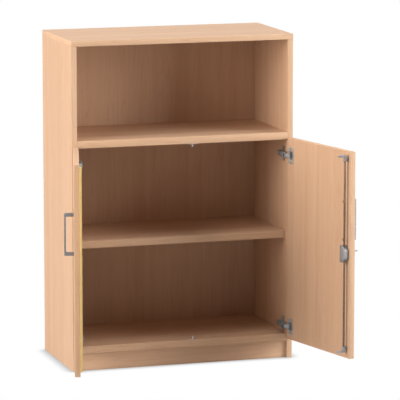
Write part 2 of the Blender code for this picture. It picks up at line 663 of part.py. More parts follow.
def build_cylinder_and_key():
    face = door_point(RIGHT, LOCK_U, DOOR_T, LOCK_Z)
    outwards = Vector((0, -1, 0))
    bore = BARREL_R - BARREL_WALL
    tail = -DOOR_T - BARREL_IN_CASE
    bm = bmesh.new()
    profile = [(bore, tail), (bore, BARREL_PROUD), (BARREL_R, BARREL_PROUD), (BARREL_R, tail)]
    turned(bm, face, outwards, profile, ROUND_STEPS, hollow=True)
    part("lock_cylinder", bm, LOCK_ZINC, DOORS[RIGHT], smooth=True)
    bm = bmesh.new()
    inner = BARREL_R + FIT
    slope = ROSETTE_T / 2
    profile = [(inner, FIT), (inner, ROSETTE_T), (ROSETTE_R - slope, ROSETTE_T), (ROSETTE_R, slope),
               (ROSETTE_R, FIT)]
    turned(bm, face, outwards, profile, FINE_STEPS, hollow=True)
    part("lock_rosette", bm, LOCK_ZINC, DOORS[RIGHT], smooth=True)
    plug_r = bore - FIT
    bm = bmesh.new()
    rod(bm, face + outwards * (tail + FIT), outwards, plug_r, BARREL_PROUD - tail, ROUND_STEPS)
    plug = part("lock_plug", bm, LOCK_ZINC, PLUG, smooth=True)
    keyway = bmesh.new()
    mouth = BARREL_PROUD + FIT
    slot_half = Vector((KEY_BLADE_W / 2 + FIT, 0, KEY_T / 2 + FIT))
    box(keyway, face + outwards * (mouth - KEY_BLADE_IN - 2 * FIT) - slot_half,
        face + outwards * (mouth + KEY_T) + slot_half)
    combine(plug, "DIFFERENCE", "keyway", keyway, PLUG)
    bm = bmesh.new()
    half = KEY_BLADE_W / 2
    tip = mouth - KEY_BLADE_IN
    bow = mouth + KEY_NECK + KEY_BOW_R
    meet = math.degrees(math.asin(half / KEY_BOW_R))
    outline = [(-half, tip + half), (0, tip), (half, tip + half)]
    outline += arc((0, bow), KEY_BOW_R, -90 + meet, 270 - meet, 4 * ARC_STEPS)
    level = Matrix.Translation(face) @ Matrix.Rotation(math.pi, 4, "X")
    plate(bm, [outline, circle((0, bow + KEY_BOW_R / 2), KEY_HOLE_R)], KEY_T, level)
    part("key", bm, SCREW_STEEL, PLUG, smooth=True)


def build_rods():
    bm = bmesh.new()
    half = DRIVER_H / 2
    bore = ROD_R + FIT
    profile = [(bore, -half), (bore, half), (DRIVER_R, half), (DRIVER_R, -half)]
    turned(bm, ROD_AXIS + Vector((0, 0, LOCK_Z)), (0, 0, 1), profile, ROUND_STEPS, hollow=True)
    part("rod_driver", bm, LOCK_ZINC, RODS, smooth=True)
    ends = {"upper": (LOCK_Z + FIT, HOOK_TOP - HOOK_ARM_T - FIT),
            "lower": (HOOK_LOW + HOOK_ARM_T + FIT, LOCK_Z - FIT)}
    for level, (low, high) in ends.items():
        bm = bmesh.new()
        rod(bm, ROD_AXIS + Vector((0, 0, low)), (0, 0, 1), ROD_R, high - low, ROUND_STEPS)
        part(level + "_rod", bm, ROD_STEEL, RODS, smooth=True)


def build_hook(level, end_z, way):
    """A hook on a rod's end: a sleeve, a level arm at the very end and a web that stiffens it."""
    bm = bmesh.new()
    profile = [(0, 0), (HOOK_SLEEVE_R, 0), (HOOK_SLEEVE_R, HOOK_SLEEVE_H), (0, HOOK_SLEEVE_H)]
    foot = ROD_AXIS + Vector((0, 0, end_z))
    turned(bm, foot, (0, 0, -way), profile, ROUND_STEPS)
    hook = part(level + "_hook", bm, LOCK_ZINC, RODS, smooth=True)
    arm = bmesh.new()
    half = HOOK_ARM_W / 2
    outline = [(half, 0), (half, HOOK_ARM_LENGTH - half)]
    outline += arc((0, HOOK_ARM_LENGTH - half), half, 0, 180, 2 * ARC_STEPS) + [(-half, 0)]
    middle = foot + Vector((0, 0, -way * HOOK_ARM_T / 2))
    plate(arm, [outline], HOOK_ARM_T, flat_in_z(middle))
    combine(hook, "UNION", level + "_hook_arm", arm, RODS)
    web = bmesh.new()
    sink = HOOK_ARM_T / 2
    end = HOOK_ARM_LENGTH - HOOK_ARM_W
    outline = [(ROD_R, -sink), (end, -sink), (end, -HOOK_ARM_T), (ROD_R, -HOOK_ARM_T - HOOK_WEB_H)]
    # The outline's x runs along the arm and its y towards the rod's end.
    along_and_up = Matrix(((0, 0, 1, 0), (1, 0, 0, 0), (0, way, 0, 0), (0, 0, 0, 1)))
    plate(web, [outline], HOOK_WEB_T, Matrix.Translation(foot) @ along_and_up)
    combine(hook, "UNION", level + "_hook_web", web, RODS)
    cut = bmesh.new()
    depth = HOOK_SLEEVE_H - HOOK_ARM_T
    mouth = ROD_AXIS + Vector((0, 0, end_z - way * HOOK_ARM_T))
    rod(cut, mouth, (0, 0, -way), ROD_R + FIT, 2 * depth, ROUND_STEPS)
    combine(hook, "DIFFERENCE", level + "_hook_bore", cut, RODS)


def build_guide(level, z):
    """A guide that holds a rod close under its hook: a barrel on a foot that is fixed to the door."""
    bm = bmesh.new()
    foot = ROD_AXIS + Vector((0, 0, z - GUIDE_H / 2))
    rod(bm, foot, (0, 0, 1), GUIDE_R, GUIDE_H, ROUND_STEPS)
    guide = part(level + "_rod_guide", bm, LOCK_ZINC, DOORS[RIGHT], smooth=True)
    base = bmesh.new()
    half = GUIDE_H / 2 - FIT
    end = ROD_U + GUIDE_R
    outline = [(ROD_U - ROD_R, -ROD_DEPTH + ROD_R), (ROD_U - ROD_R, -FIT - GUIDE_FOOT_T),
               (end - GUIDE_FOOT_W, -FIT - GUIDE_FOOT_T), (end - GUIDE_FOOT_W, -FIT),
               (end, -FIT), (end, -FIT - GUIDE_FOOT_T), (ROD_U + ROD_R, -FIT - GUIDE_FOOT_T),
               (ROD_U + ROD_R, -ROD_DEPTH + ROD_R)]
    rim = [door_point(RIGHT, u, v, 0).xy for u, v in outline]
    plate(base, [rim], 2 * half, flat_in_z((0, 0, z)))
    combine(guide, "UNION", level + "_rod_guide_foot", base, DOORS[RIGHT])
    bore = bmesh.new()
    rod(bore, foot - Vector((0, 0, GUIDE_H)), (0, 0, 1), ROD_R + FIT, 3 * GUIDE_H, ROUND_STEPS)
    combine(guide, "DIFFERENCE", level + "_rod_guide_bore", bore, DOORS[RIGHT])


STRIKER_X = ROD_AXIS.x + STRIKER_FROM_ROD
STRIKER_Y = ROD_AXIS.y - HOOK_ARM_W / 2 - STRIKER_PLAY - STRIKER_PIN_R


def build_strikers():
    """Under the middle shelf and on the bottom board: a plate with the pin that a hook turns behind."""
    for level, face_z, way in (("upper", MIDDLE_SHELF_LOW, -1), ("lower", BOTTOM_TOP, 1)):
        seat_z = face_z + way * FIT
        half_w = STRIKER_PLATE_W / 2
        half_d = STRIKER_PLATE_D / 2
        outline = [(-half_w, -half_d), (half_w, -half_d), (half_w, half_d), (-half_w, half_d)]
        holes = [circle((side * STRIKER_SCREW_X, 0), STRIKER_HOLE_R) for side in (1, -1)]
        middle_y = STRIKER_Y - STRIKER_PIN_R - STRIKER_MARGIN + half_d
        middle = (STRIKER_X, middle_y, seat_z + way * STRIKER_PLATE_T / 2)
        bm = bmesh.new()
        plate(bm, [outline] + holes, STRIKER_PLATE_T, flat_in_z(middle))
        striker = part(level + "_striker", bm, HINGE_STEEL, CARCASS, smooth=True)
        pin = bmesh.new()
        rod(pin, (STRIKER_X, STRIKER_Y, seat_z + way * STRIKER_PLATE_T / 2), (0, 0, way),
            STRIKER_PIN_R, STRIKER_PIN_REACH, ROUND_STEPS)
        combine(striker, "UNION", level + "_striker_pin", pin, CARCASS)


for hand in (RIGHT, LEFT):
    build_side(hand)
build_top()
build_inside()
for hand in (RIGHT, LEFT):
    for level in HINGE_Z:
        build_plate(hand, level)
        build_arm(hand, level)
        build_link(hand, level)
        build_cup(hand, level)
        build_hinge_pins(hand, level)
for hand in (RIGHT, LEFT):
    build_door(hand)
    build_handle(hand)
build_strip()
build_case()
build_cylinder_and_key()
build_rods()
build_hook("upper", HOOK_TOP, 1)
build_hook("lower", HOOK_LOW, -1)
for level, z in GUIDE_Z.items():
    build_guide(level, z)
build_strikers()
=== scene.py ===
"""Looks of a beech office cabinet: an open compartment over a cupboard whose two doors stand open."""
import math

import bpy
from mathutils import Matrix, Vector


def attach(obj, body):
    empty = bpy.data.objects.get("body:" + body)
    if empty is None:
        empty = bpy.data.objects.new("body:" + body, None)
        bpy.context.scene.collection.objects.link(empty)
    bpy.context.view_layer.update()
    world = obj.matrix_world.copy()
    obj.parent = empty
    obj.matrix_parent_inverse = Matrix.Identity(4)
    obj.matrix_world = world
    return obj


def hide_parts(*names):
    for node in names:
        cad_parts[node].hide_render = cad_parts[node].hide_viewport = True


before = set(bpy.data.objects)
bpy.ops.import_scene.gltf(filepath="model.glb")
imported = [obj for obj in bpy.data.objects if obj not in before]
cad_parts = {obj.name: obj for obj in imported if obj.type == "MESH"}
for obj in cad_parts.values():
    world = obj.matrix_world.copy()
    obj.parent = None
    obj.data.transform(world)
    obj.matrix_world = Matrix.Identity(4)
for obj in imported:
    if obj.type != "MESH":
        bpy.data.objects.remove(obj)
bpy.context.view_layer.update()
scene = bpy.context.scene
scene.view_settings.view_transform = "Standard"


# Side boards. Chipboard faced with beech-pattern melamine, 19 mm thick, standing on the floor.
# The grain runs upright, and a 1 mm band is glued on the front and back edges and rounded over.
WIDTH = 0.800
DEPTH = 0.390
HEIGHT = 1.150
BOARD_T = 0.019
EDGE_BAND = 0.001
EDGE_ROUND = 0.0007
CORE_EASE = 0.00012
SAME_PLACE = 1e-5
SMOOTH_ANGLE = math.radians(40)
BAND_SMOOTH_ANGLE = math.radians(50)
FRONT_Y = -DEPTH / 2
INNER_X = WIDTH / 2 - BOARD_T
SIDE_TOP = HEIGHT - BOARD_T
FACE_PALE = (0.640, 0.454, 0.337, 1.0)
FACE_DEEP = (0.570, 0.386, 0.274, 1.0)
# The bands are paler than the faces: partly a tone of their own, and partly painted light, for the brighter
# light on the front edges.
BAND_PALE = (0.696, 0.498, 0.360, 1.0)
BAND_DEEP = (0.635, 0.440, 0.311, 1.0)
BEECH_RING = (0.496, 0.314, 0.208, 1.0)
BEECH_FLECK = (0.418, 0.248, 0.154, 1.0)
STRIPE_RATE = (26.0, 26.0, 0.55)
RING_RATE = (16.0, 16.0, 0.8)
RING_COUNT = 15.0
FIBRE_RATE = (900.0, 900.0, 14.0)
FLECK_RATE = (1100.0, 1100.0, 150.0)
BAND_SHIFT = Vector((0.37, 0.11, 0.23))
UPRIGHT = (0, 0, 1)
ACROSS = (1, 0, 0)


def node_link(tree, source, target):
    """Links an output of one node to an input of another."""
    tree.links.new(source, target)


def stretched_noise(tree, vector, rate, detail, distortion=0.0):
    """Noise drawn out along the grain: rate gives how often it changes in a metre along each axis."""
    mapping = tree.nodes.new("ShaderNodeMapping")
    mapping.inputs["Scale"].default_value = rate
    node_link(tree, vector, mapping.inputs["Vector"])
    noise = tree.nodes.new("ShaderNodeTexNoise")
    noise.inputs["Scale"].default_value = 1.0
    noise.inputs["Detail"].default_value = detail
    noise.inputs["Roughness"].default_value = 0.55
    noise.inputs["Distortion"].default_value = distortion
    node_link(tree, mapping.outputs["Vector"], noise.inputs["Vector"])
    return noise.outputs["Fac"]


def between(tree, value, low, high, out_low=0.0, out_high=1.0):
    """Spreads the values from low to high over out_low to out_high, and stops them there."""
    spread = tree.nodes.new("ShaderNodeMapRange")
    spread.inputs["From Min"].default_value = low
    spread.inputs["From Max"].default_value = high
    spread.inputs["To Min"].default_value = out_low
    spread.inputs["To Max"].default_value = out_high
    node_link(tree, value, spread.inputs["Value"])
    return spread.outputs["Result"]


def calculate(tree, operation, first, second=0.0):
    """One Math node; the second value may be a number or a socket."""
    step = tree.nodes.new("ShaderNodeMath")
    step.operation = operation
    node_link(tree, first, step.inputs[0])
    if isinstance(second, float):
        step.inputs[1].default_value = second
    else:
        node_link(tree, second, step.inputs[1])
    return step.outputs["Value"]


def colour_mix(tree, amount, first, second):
    """Mixes two colours; each may be a socket or a colour."""
    mix = tree.nodes.new("ShaderNodeMix")
    mix.data_type = "RGBA"
    node_link(tree, amount, mix.inputs["Factor"])
    for socket, value in ((mix.inputs["A"], first), (mix.inputs["B"], second)):
        if isinstance(value, tuple):
            socket.default_value = value
        else:
            node_link(tree, value, socket)
    return mix.outputs["Result"]


def new_group(name, inputs, outputs):
    """A shader node group with its sockets made, and the nodes at its two ends."""
    group = bpy.data.node_groups.new(name, "ShaderNodeTree")
    for label, kind in inputs:
        group.interface.new_socket(name=label, in_out="INPUT", socket_type=kind)
    for label, kind in outputs:
        group.interface.new_socket(name=label, in_out="OUTPUT", socket_type=kind)
    return group, group.nodes.new("NodeGroupInput"), group.nodes.new("NodeGroupOutput")


def beech_grain_group():
    """Beech as printed on board: broad stripes, faint growth rings, fine fibre and short dark flecks."""
    group, start, end = new_group(
        "beech_grain",
        [("Vector", "NodeSocketVector"), ("Pale", "NodeSocketColor"), ("Deep", "NodeSocketColor")],
        [("Color", "NodeSocketColor"), ("Roughness", "NodeSocketFloat"), ("Height", "NodeSocketFloat")])
    place = start.outputs["Vector"]
    stripes = stretched_noise(group, place, STRIPE_RATE, 3.0, 0.4)
    tone = between(group, stripes, 0.30, 0.70)
    rings = stretched_noise(group, place, RING_RATE, 2.0, 0.7)
    ring_count = calculate(group, "MULTIPLY", rings, RING_COUNT)
    ring_wave = calculate(group, "PINGPONG", ring_count, 0.5)
    ring_line = between(group, ring_wave, 0.30, 0.50, 0.0, 0.34)
    fibre = stretched_noise(group, place, FIBRE_RATE, 2.0)
    fibre_tone = between(group, fibre, 0.35, 0.65, 0.0, 0.20)
    flecks = stretched_noise(group, place, FLECK_RATE, 1.0)
    fleck_mask = between(group, flecks, 0.66, 0.74, 0.0, 0.55)
    colour = colour_mix(group, tone, start.outputs["Pale"], start.outputs["Deep"])
    colour = colour_mix(group, ring_line, colour, BEECH_RING)
    colour = colour_mix(group, fibre_tone, colour, BEECH_RING)
    colour = colour_mix(group, fleck_mask, colour, BEECH_FLECK)
    node_link(group, colour, end.inputs["Color"])
    node_link(group, between(group, fibre, 0.3, 0.7, 0.48, 0.60), end.inputs["Roughness"])
    pores = calculate(group, "ADD", fibre_tone, fleck_mask)
    node_link(group, pores, end.inputs["Height"])
    return group


BEECH_GRAIN = beech_grain_group()


def new_material(name):
    """A material with its Principled shader, ready for its nodes."""
    material = bpy.data.materials.new(name)
    material.use_nodes = True
    return material, material.node_tree, material.node_tree.nodes["Principled BSDF"]


def place_pattern(tree, shader, group, values, vector, bump_strength, bump_depth):
    """Places a group in a material, and links its colour, roughness and height to the shader."""
    pattern = tree.nodes.new("ShaderNodeGroup")
    pattern.node_tree = group
    for label, value in values.items():
        pattern.inputs[label].default_value = value
    bump = tree.nodes.new("ShaderNodeBump")
    bump.inputs["Strength"].default_value = bump_strength
    bump.inputs["Distance"].default_value = bump_depth
    node_link(tree, vector, pattern.inputs["Vector"])
    node_link(tree, pattern.outputs["Color"], shader.inputs["Base Color"])
    node_link(tree, pattern.outputs["Roughness"], shader.inputs["Roughness"])
    node_link(tree, pattern.outputs["Height"], bump.inputs["Height"])
    node_link(tree, bump.outputs["Normal"], shader.inputs["Normal"])
    return bump


def beech_material(name, grain, shift, pale=FACE_PALE, deep=FACE_DEEP):
    """Beech for one board: grain is the way it runs, and shift picks its own part of the pattern."""
    material, tree, shader = new_material(name)
    coordinates = tree.nodes.new("ShaderNodeTexCoord")
    mapping = tree.nodes.new("ShaderNodeMapping")
    turn = Vector(grain).rotation_difference(Vector(UPRIGHT))
    mapping.inputs["Rotation"].default_value = turn.to_euler()
    mapping.inputs["Location"].default_value = shift
    node_link(tree, coordinates.outputs["Object"], mapping.inputs["Vector"])
    tones = {"Pale": pale, "Deep": deep}
    pores = place_pattern(tree, shader, BEECH_GRAIN, tones, mapping.outputs["Vector"], 0.10, 0.0002)
    pores.invert = True
    shader.inputs["Specular IOR Level"].default_value = 0.20
    return material


def take(obj):
    """Makes one object the only selected one, and the active one."""
    bpy.ops.object.select_all(action="DESELECT")
    obj.select_set(True)
    bpy.context.view_layer.objects.active = obj


def settle(obj, place=None):
    """Moves a piece by a matrix, if one is given, and puts its place into its mesh."""
    if place is not None:
        obj.matrix_world = place @ obj.matrix_world
    take(obj)
    bpy.ops.object.transform_apply(location=True, rotation=True, scale=True)
    return obj


def box_piece(name, low, high):
    """A block between two opposite corners, given in any order."""
    bpy.ops.object.select_all(action="DESELECT")
    corners = [(min(a, b), max(a, b)) for a, b in zip(low, high)]
    bpy.ops.mesh.primitive_cube_add(size=1.0, location=[(a + b) / 2 for a, b in corners])
    obj = bpy.context.object
    obj.name = name
    obj.data.name = name
    obj.scale = [b - a for a, b in corners]
    return settle(obj)


def use_modifier(obj, kind, **settings):
    """Adds a modifier with these settings and applies it at once."""
    take(obj)
    modifier = obj.modifiers.new(kind, kind)
    for key, value in settings.items():
        setattr(modifier, key, value)
    bpy.ops.object.modifier_apply(modifier=modifier.name)
    return obj


def soften(obj, width, segments=2, angle=30.0):
    """Rounds the edges sharper than an angle, and shades the rest smooth."""
    use_modifier(obj, "BEVEL", width=width, segments=segments, limit_method="ANGLE",
                 angle_limit=math.radians(angle))
    take(obj)
    bpy.ops.object.shade_smooth_by_angle(angle=SMOOTH_ANGLE)
    return obj


def select_edges(obj, wanted):
    """Selects, in edit mode, the edges whose two ends both answer to wanted."""
    take(obj)
    bpy.ops.object.mode_set(mode="EDIT")
    bpy.ops.mesh.select_mode(type="EDGE")
    bpy.ops.mesh.select_all(action="DESELECT")
    bpy.ops.object.mode_set(mode="OBJECT")
    points = obj.data.vertices
    for edge in obj.data.edges:
        edge.select = all(wanted(points[i].co) for i in edge.vertices)
    bpy.ops.object.mode_set(mode="EDIT")


def round_edges(obj, wanted, width, segments=3):
    """Bevels only the edges that answer to wanted."""
    select_edges(obj, wanted)
    bpy.ops.mesh.bevel(offset=width, offset_type="OFFSET", segments=segments, affect="EDGES")
    bpy.ops.object.mode_set(mode="OBJECT")
    return obj


def finish_piece(obj, material, body, slot, *nodes):
    """Gives a piece its finish, and says which body it moves with and which solids it stands for."""
    obj.data.materials.clear()
    obj.data.materials.append(material)
    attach(obj, body)
    if nodes:
        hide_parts(*nodes)
    return obj


EDGE_NAMES = {"-x": "left", "+x": "right", "-y": "front", "+y": "back", "-z": "lower", "+z": "upper"}


def beech_board(name, body, low, high, bands, grain, shift, place=None):
    """A faced board with a glued band on the edges named in bands; the bands are pieces of their own.

    The grain of a band runs as the board's does, and crosswise on the upper and lower edges of a door.
    """
    low = Vector(low)
    high = Vector(high)
    for side in bands:
        axis = "xyz".index(side[1])
        band_low = low.copy()
        band_high = high.copy()
        if side[0] == "-":
            band_high[axis] = low[axis] + EDGE_BAND
            outer = low[axis]
            low[axis] += EDGE_BAND
        else:
            band_low[axis] = high[axis] - EDGE_BAND
            outer = high[axis]
            high[axis] -= EDGE_BAND
        band = box_piece("%s_%s_edge" % (name, EDGE_NAMES[side]), band_low, band_high)
        round_edges(band, lambda co: abs(co[axis] - outer) < SAME_PLACE, EDGE_ROUND)
        take(band)
        bpy.ops.object.shade_smooth_by_angle(angle=BAND_SMOOTH_ANGLE)
        settle(band, place)
        run = place.to_3x3() @ Vector(ACROSS) if side[1] == "z" else grain
        tint = beech_material(band.name + "_beech", run, Vector(shift) + BAND_SHIFT, BAND_PALE, BAND_DEEP)
        finish_piece(band, tint, body, "beech_board")
    core = box_piece(name, low, high)
    soften(core, CORE_EASE, 1)
    settle(core, place)
    finish_piece(core, beech_material(name + "_beech", grain, shift), body, "beech_board", name)
    return core


beech_board("left_side", "carcass", (-WIDTH / 2, FRONT_Y, 0), (-INNER_X, -FRONT_Y, SIDE_TOP),
            ("-y", "+y"), UPRIGHT, (0.0, 0.0, 0.0))
beech_board("right_side", "carcass", (INNER_X, FRONT_Y, 0), (WIDTH / 2, -FRONT_Y, SIDE_TOP),
            ("-y", "+y"), UPRIGHT, (2.3, 0.7, 1.9))


# Top board. The same faced board, laid over the ends of both sides, with its grain from side to side
# and bands on all four edges. A hairline gap keeps its lower face off the ends.
HAIRLINE = 0.0001
beech_board("top_board", "carcass", (-WIDTH / 2, FRONT_Y, SIDE_TOP + HAIRLINE),
            (WIDTH / 2, -FRONT_Y, HEIGHT), ("-y", "+y", "-x", "+x"), ACROSS, (4.1, 1.3, 0.4))


# Middle shelf and bottom board. Thicker boards, 25 mm, dowelled between the sides; only their front
# edges are banded.
SHELF_T = 0.025
MIDDLE_SHELF_TOP = 0.805
PLINTH_H = 0.062
BOTTOM_TOP = PLINTH_H + SHELF_T
MIDDLE_SHELF_LOW = MIDDLE_SHELF_TOP - SHELF_T
BACK_FACE_Y = 0.171
beech_board("middle_shelf", "carcass", (-INNER_X, FRONT_Y, MIDDLE_SHELF_LOW),
            (INNER_X, BACK_FACE_Y, MIDDLE_SHELF_TOP), ("-y",), ACROSS, (6.2, 2.7, 0.9))
beech_board("bottom_board", "carcass", (-INNER_X, FRONT_Y, PLINTH_H), (INNER_X, BACK_FACE_Y, BOTTOM_TOP),
            ("-y",), ACROSS, (8.4, 3.1, 1.6))


# Plinth. A strip of the same board, standing on the floor under the bottom board and set back 10 mm
# from the front. A small gap, the seat, keeps it off the board above.
PLINTH_RECESS = 0.010
PLINTH_FRONT_Y = FRONT_Y + PLINTH_RECESS
SEAT = 0.0003
beech_board("plinth_board", "carcass", (-INNER_X, PLINTH_FRONT_Y, 0),
            (INNER_X, PLINTH_FRONT_Y + BOARD_T, PLINTH_H - SEAT), (), ACROSS, (9.7, 4.4, 2.2))


# Back panel. Thin faced board with its grain upright, let into grooves of the sides and the top; what
# lies in the grooves can't be seen, and is left off here.
BACK_T = 0.008
beech_board("back_panel", "carcass", (HAIRLINE - INNER_X, BACK_FACE_Y, PLINTH_H),
            (INNER_X - HAIRLINE, BACK_FACE_Y + BACK_T, SIDE_TOP), (), UPRIGHT, (11.5, 5.2, 3.0))


# Adjustable shelf. A loose 25 mm board on four pins, set back from the front so that the doors and
# the lock clear it; its front edge is banded.
ADJUSTABLE_TOP = 0.452
ADJUSTABLE_SETBACK = 0.025
SHELF_PLAY = 0.001
beech_board("adjustable_shelf", "carcass",
            (SHELF_PLAY - INNER_X, FRONT_Y + ADJUSTABLE_SETBACK, ADJUSTABLE_TOP - SHELF_T),
            (INNER_X - SHELF_PLAY, BACK_FACE_Y - SHELF_PLAY, ADJUSTABLE_TOP),
            ("-y",), ACROSS, (13.1, 6.6, 3.7))


# Shelf pins. Zinc-plated steel studs pushed into bores of the sides; the shelf lies on their thick
# ends. They stay as the solids they are, with the plating's fine marks.
CLOUD_RATE = (160.0, 160.0, 160.0)
SCRATCH_RATE = (2600.0, 2600.0, 120.0)


def worn_metal_group():
    """Fine use marks of plated metal: cloudy patches and hairline scratches."""
    group, start, end = new_group(
        "worn_metal",
        [("Vector", "NodeSocketVector"), ("Light", "NodeSocketColor"), ("Dark", "NodeSocketColor"),
         ("Roughness", "NodeSocketFloat")],
        [("Color", "NodeSocketColor"), ("Roughness", "NodeSocketFloat"), ("Height", "NodeSocketFloat")])
    place = start.outputs["Vector"]
    clouds = stretched_noise(group, place, CLOUD_RATE, 3.0)
    hairlines = stretched_noise(group, place, SCRATCH_RATE, 2.0)
    cloud_mask = between(group, clouds, 0.35, 0.68)
    line_mask = between(group, hairlines, 0.55, 0.75, 0.0, 0.35)
    colour = colour_mix(group, cloud_mask, start.outputs["Light"], start.outputs["Dark"])
    colour = colour_mix(group, line_mask, colour, start.outputs["Dark"])
    node_link(group, colour, end.inputs["Color"])
    haze = between(group, clouds, 0.3, 0.7, -0.05, 0.08)
    rough = calculate(group, "ADD", start.outputs["Roughness"], haze)
    node_link(group, rough, end.inputs["Roughness"])
    node_link(group, line_mask, end.inputs["Height"])
    return group


WORN_METAL = worn_metal_group()


def metal_material(name, light, dark, roughness, metallic=1.0):
    """Plated or cast metal with its light and dark tones; a low metallic value makes it dull."""
    material, tree, shader = new_material(name)
    coordinates = tree.nodes.new("ShaderNodeTexCoord")
    tones = {"Light": (*light, 1.0), "Dark": (*dark, 1.0), "Roughness": roughness}
    place_pattern(tree, shader, WORN_METAL, tones, coordinates.outputs["Object"], 0.08, 0.0001)
    shader.inputs["Metallic"].default_value = metallic
    return material


def dress_solid(name, material):
    """Gives its finish to a solid that stays as it is."""
    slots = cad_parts[name].data.materials
    slots.clear()
    slots.append(material)


ZINC_PLATE = metal_material("zinc_plate", (0.40, 0.40, 0.40), (0.29, 0.29, 0.30), 0.36)
for end in ("front", "back"):
    for side in ("left", "right"):
        dress_solid("shelf_support_%s_%s" % (end, side), ZINC_PLATE)


# Hinge plates and arms. Each hinge is clipped together: a cross plate screwed to the side board, and a
# pressed steel arm over it whose two cheeks reach into the door's cup. All steel with a satin plating.
HINGE_UPPER_Z = 0.726
HINGE_LOWER_Z = 0.117
PLATE_FROM_FRONT = 0.037
PLATE_T = 0.002
PLATE_W = 0.022
PLATE_H = 0.052
PLATE_ROUND = 0.0006
BOSS_LENGTH = 0.040
BOSS_ROOT = 0.001
BOSS_ROUND = 0.0004
ARM_H = 0.020
ARM_S = 0.018
ARM_LENGTH = 0.058
ARM_SHEET = 0.0014
ARM_CORNER_R = 0.0035
ARM_ROUND = 0.0003
ARM_FRONT = -0.0014
ARM_PIVOT_S = 0.013
ARM_PIVOT_T = 0.0094
CHEEK_ROOT = 0.0096
CHEEK_NEAR = 0.0073
CHEEK_FAR = 0.0089
NOSE_R = 0.0032
CUT_PAST = 0.002
FACE_STEP = 0.00001
HINGE_STEEL = metal_material("hinge_steel_satin", (0.27, 0.28, 0.30), (0.21, 0.22, 0.235), 0.45, 0.45)


def hinge_point(s, t, z=0.0):
    """A point at the right upper hinge: s inwards from the side board, t forwards of its front."""
    return Vector((INNER_X - s, FRONT_Y - t, HINGE_UPPER_Z + z))


def round_piece(name, radius, start, end, sides=32):
    """A cylinder between two points."""
    start = Vector(start)
    end = Vector(end)
    way = end - start
    turn = way.to_track_quat("Z", "Y").to_euler()
    bpy.ops.object.select_all(action="DESELECT")
    bpy.ops.mesh.primitive_cylinder_add(vertices=sides, radius=radius, depth=way.length,
                                        location=(start + end) / 2, rotation=turn)
    obj = bpy.context.object
    obj.name = name
    obj.data.name = name
    return settle(obj)


def combine(obj, tool, operation="UNION"):
    """Joins a tool body to a piece, or cuts it out, and removes the tool."""
    use_modifier(obj, "BOOLEAN", operation=operation, object=tool, solver="EXACT")
    bpy.data.objects.remove(tool, do_unlink=True)
    return obj


LEVEL_Z = {"upper": HINGE_UPPER_Z, "lower": HINGE_LOWER_Z}
HAND_NAMES = {1: "right", -1: "left"}
AT_REST = {1: Matrix.Identity(4), -1: Matrix.Identity(4)}


def copies_for_hinges(model, material, body, suffix, places):
    """Copies a model made at the right upper hinge to all four, mirrored for the left ones."""
    for hand, hand_name in HAND_NAMES.items():
        for level, z in LEVEL_Z.items():
            name = "%s_%s_hinge_%s" % (hand_name, level, suffix)
            mesh = model.data.copy()
            mesh.name = name
            mirror = Matrix.Diagonal((hand, 1, 1, 1))
            mesh.transform(places[hand] @ Matrix.Translation((0, 0, z - HINGE_UPPER_Z)) @ mirror)
            if hand < 0:
                mesh.flip_normals()
            obj = bpy.data.objects.new(name, mesh)
            scene.collection.objects.link(obj)
            finish_piece(obj, material, body.format(hand_name), "hinge_steel", name)
    bpy.data.objects.remove(model, do_unlink=True)


plate = box_piece("plate_model", hinge_point(SEAT, -PLATE_FROM_FRONT - PLATE_W / 2, -PLATE_H / 2),
                  hinge_point(SEAT + PLATE_T, -PLATE_FROM_FRONT + PLATE_W / 2, PLATE_H / 2))
round_edges(plate, lambda co: True, PLATE_ROUND, 2)
hollow_half_h = ARM_H / 2 - ARM_SHEET
boss_half_h = hollow_half_h - SEAT
boss = box_piece("plate_boss", hinge_point(BOSS_ROOT, -PLATE_FROM_FRONT - BOSS_LENGTH / 2, -boss_half_h),
                 hinge_point(ARM_S - ARM_SHEET - SEAT, -PLATE_FROM_FRONT + BOSS_LENGTH / 2, boss_half_h))
combine(plate, boss)
soften(plate, BOSS_ROUND, 2)
copies_for_hinges(plate, HINGE_STEEL, "carcass", "plate", AT_REST)

arm = box_piece("arm_model", hinge_point(PLATE_T + 2 * SEAT, ARM_FRONT, -ARM_H / 2),
                hinge_point(ARM_S, ARM_FRONT - ARM_LENGTH, ARM_H / 2))
arm_face_x = INNER_X - ARM_S
round_edges(arm, lambda co: abs(co.x - arm_face_x) < SAME_PLACE, ARM_CORNER_R, 4)
hollow = box_piece("arm_hollow", hinge_point(-CUT_PAST, ARM_FRONT + CUT_PAST, -hollow_half_h),
                   hinge_point(ARM_S - ARM_SHEET, ARM_FRONT - ARM_LENGTH + ARM_SHEET, hollow_half_h))
combine(arm, hollow, "DIFFERENCE")
for way in (1, -1):
    cheek = box_piece("arm_cheek", hinge_point(ARM_PIVOT_S - NOSE_R, -CHEEK_ROOT, way * CHEEK_NEAR),
                      hinge_point(ARM_PIVOT_S + NOSE_R, ARM_PIVOT_T, way * CHEEK_FAR))
    tip = round_piece("arm_tip", NOSE_R,
                      hinge_point(ARM_PIVOT_S, ARM_PIVOT_T, way * (CHEEK_NEAR + FACE_STEP)),
                      hinge_point(ARM_PIVOT_S, ARM_PIVOT_T, way * (CHEEK_FAR - FACE_STEP)), 24)
    combine(cheek, tip)
    combine(arm, cheek)
soften(arm, ARM_ROUND, 2)
copies_for_hinges(arm, HINGE_STEEL, "carcass", "arm", AT_REST)


# Hinge screws. Cross-slotted steel screws: two through each plate's wings into the side board, and two
# that clamp the arm and set the door.
SCREW_R = 0.0034
SCREW_H = 0.0010
SCREW_SUNK = 0.0005
RIM_SHARE = 0.35
SLOT_HALF_W = 0.0004
SLOT_SHARE = 0.62
SLOT_FLOOR_SHARE = 0.45
PLATE_SCREW_Z = 0.016
ARM_SCREW_OFFSET = 0.015


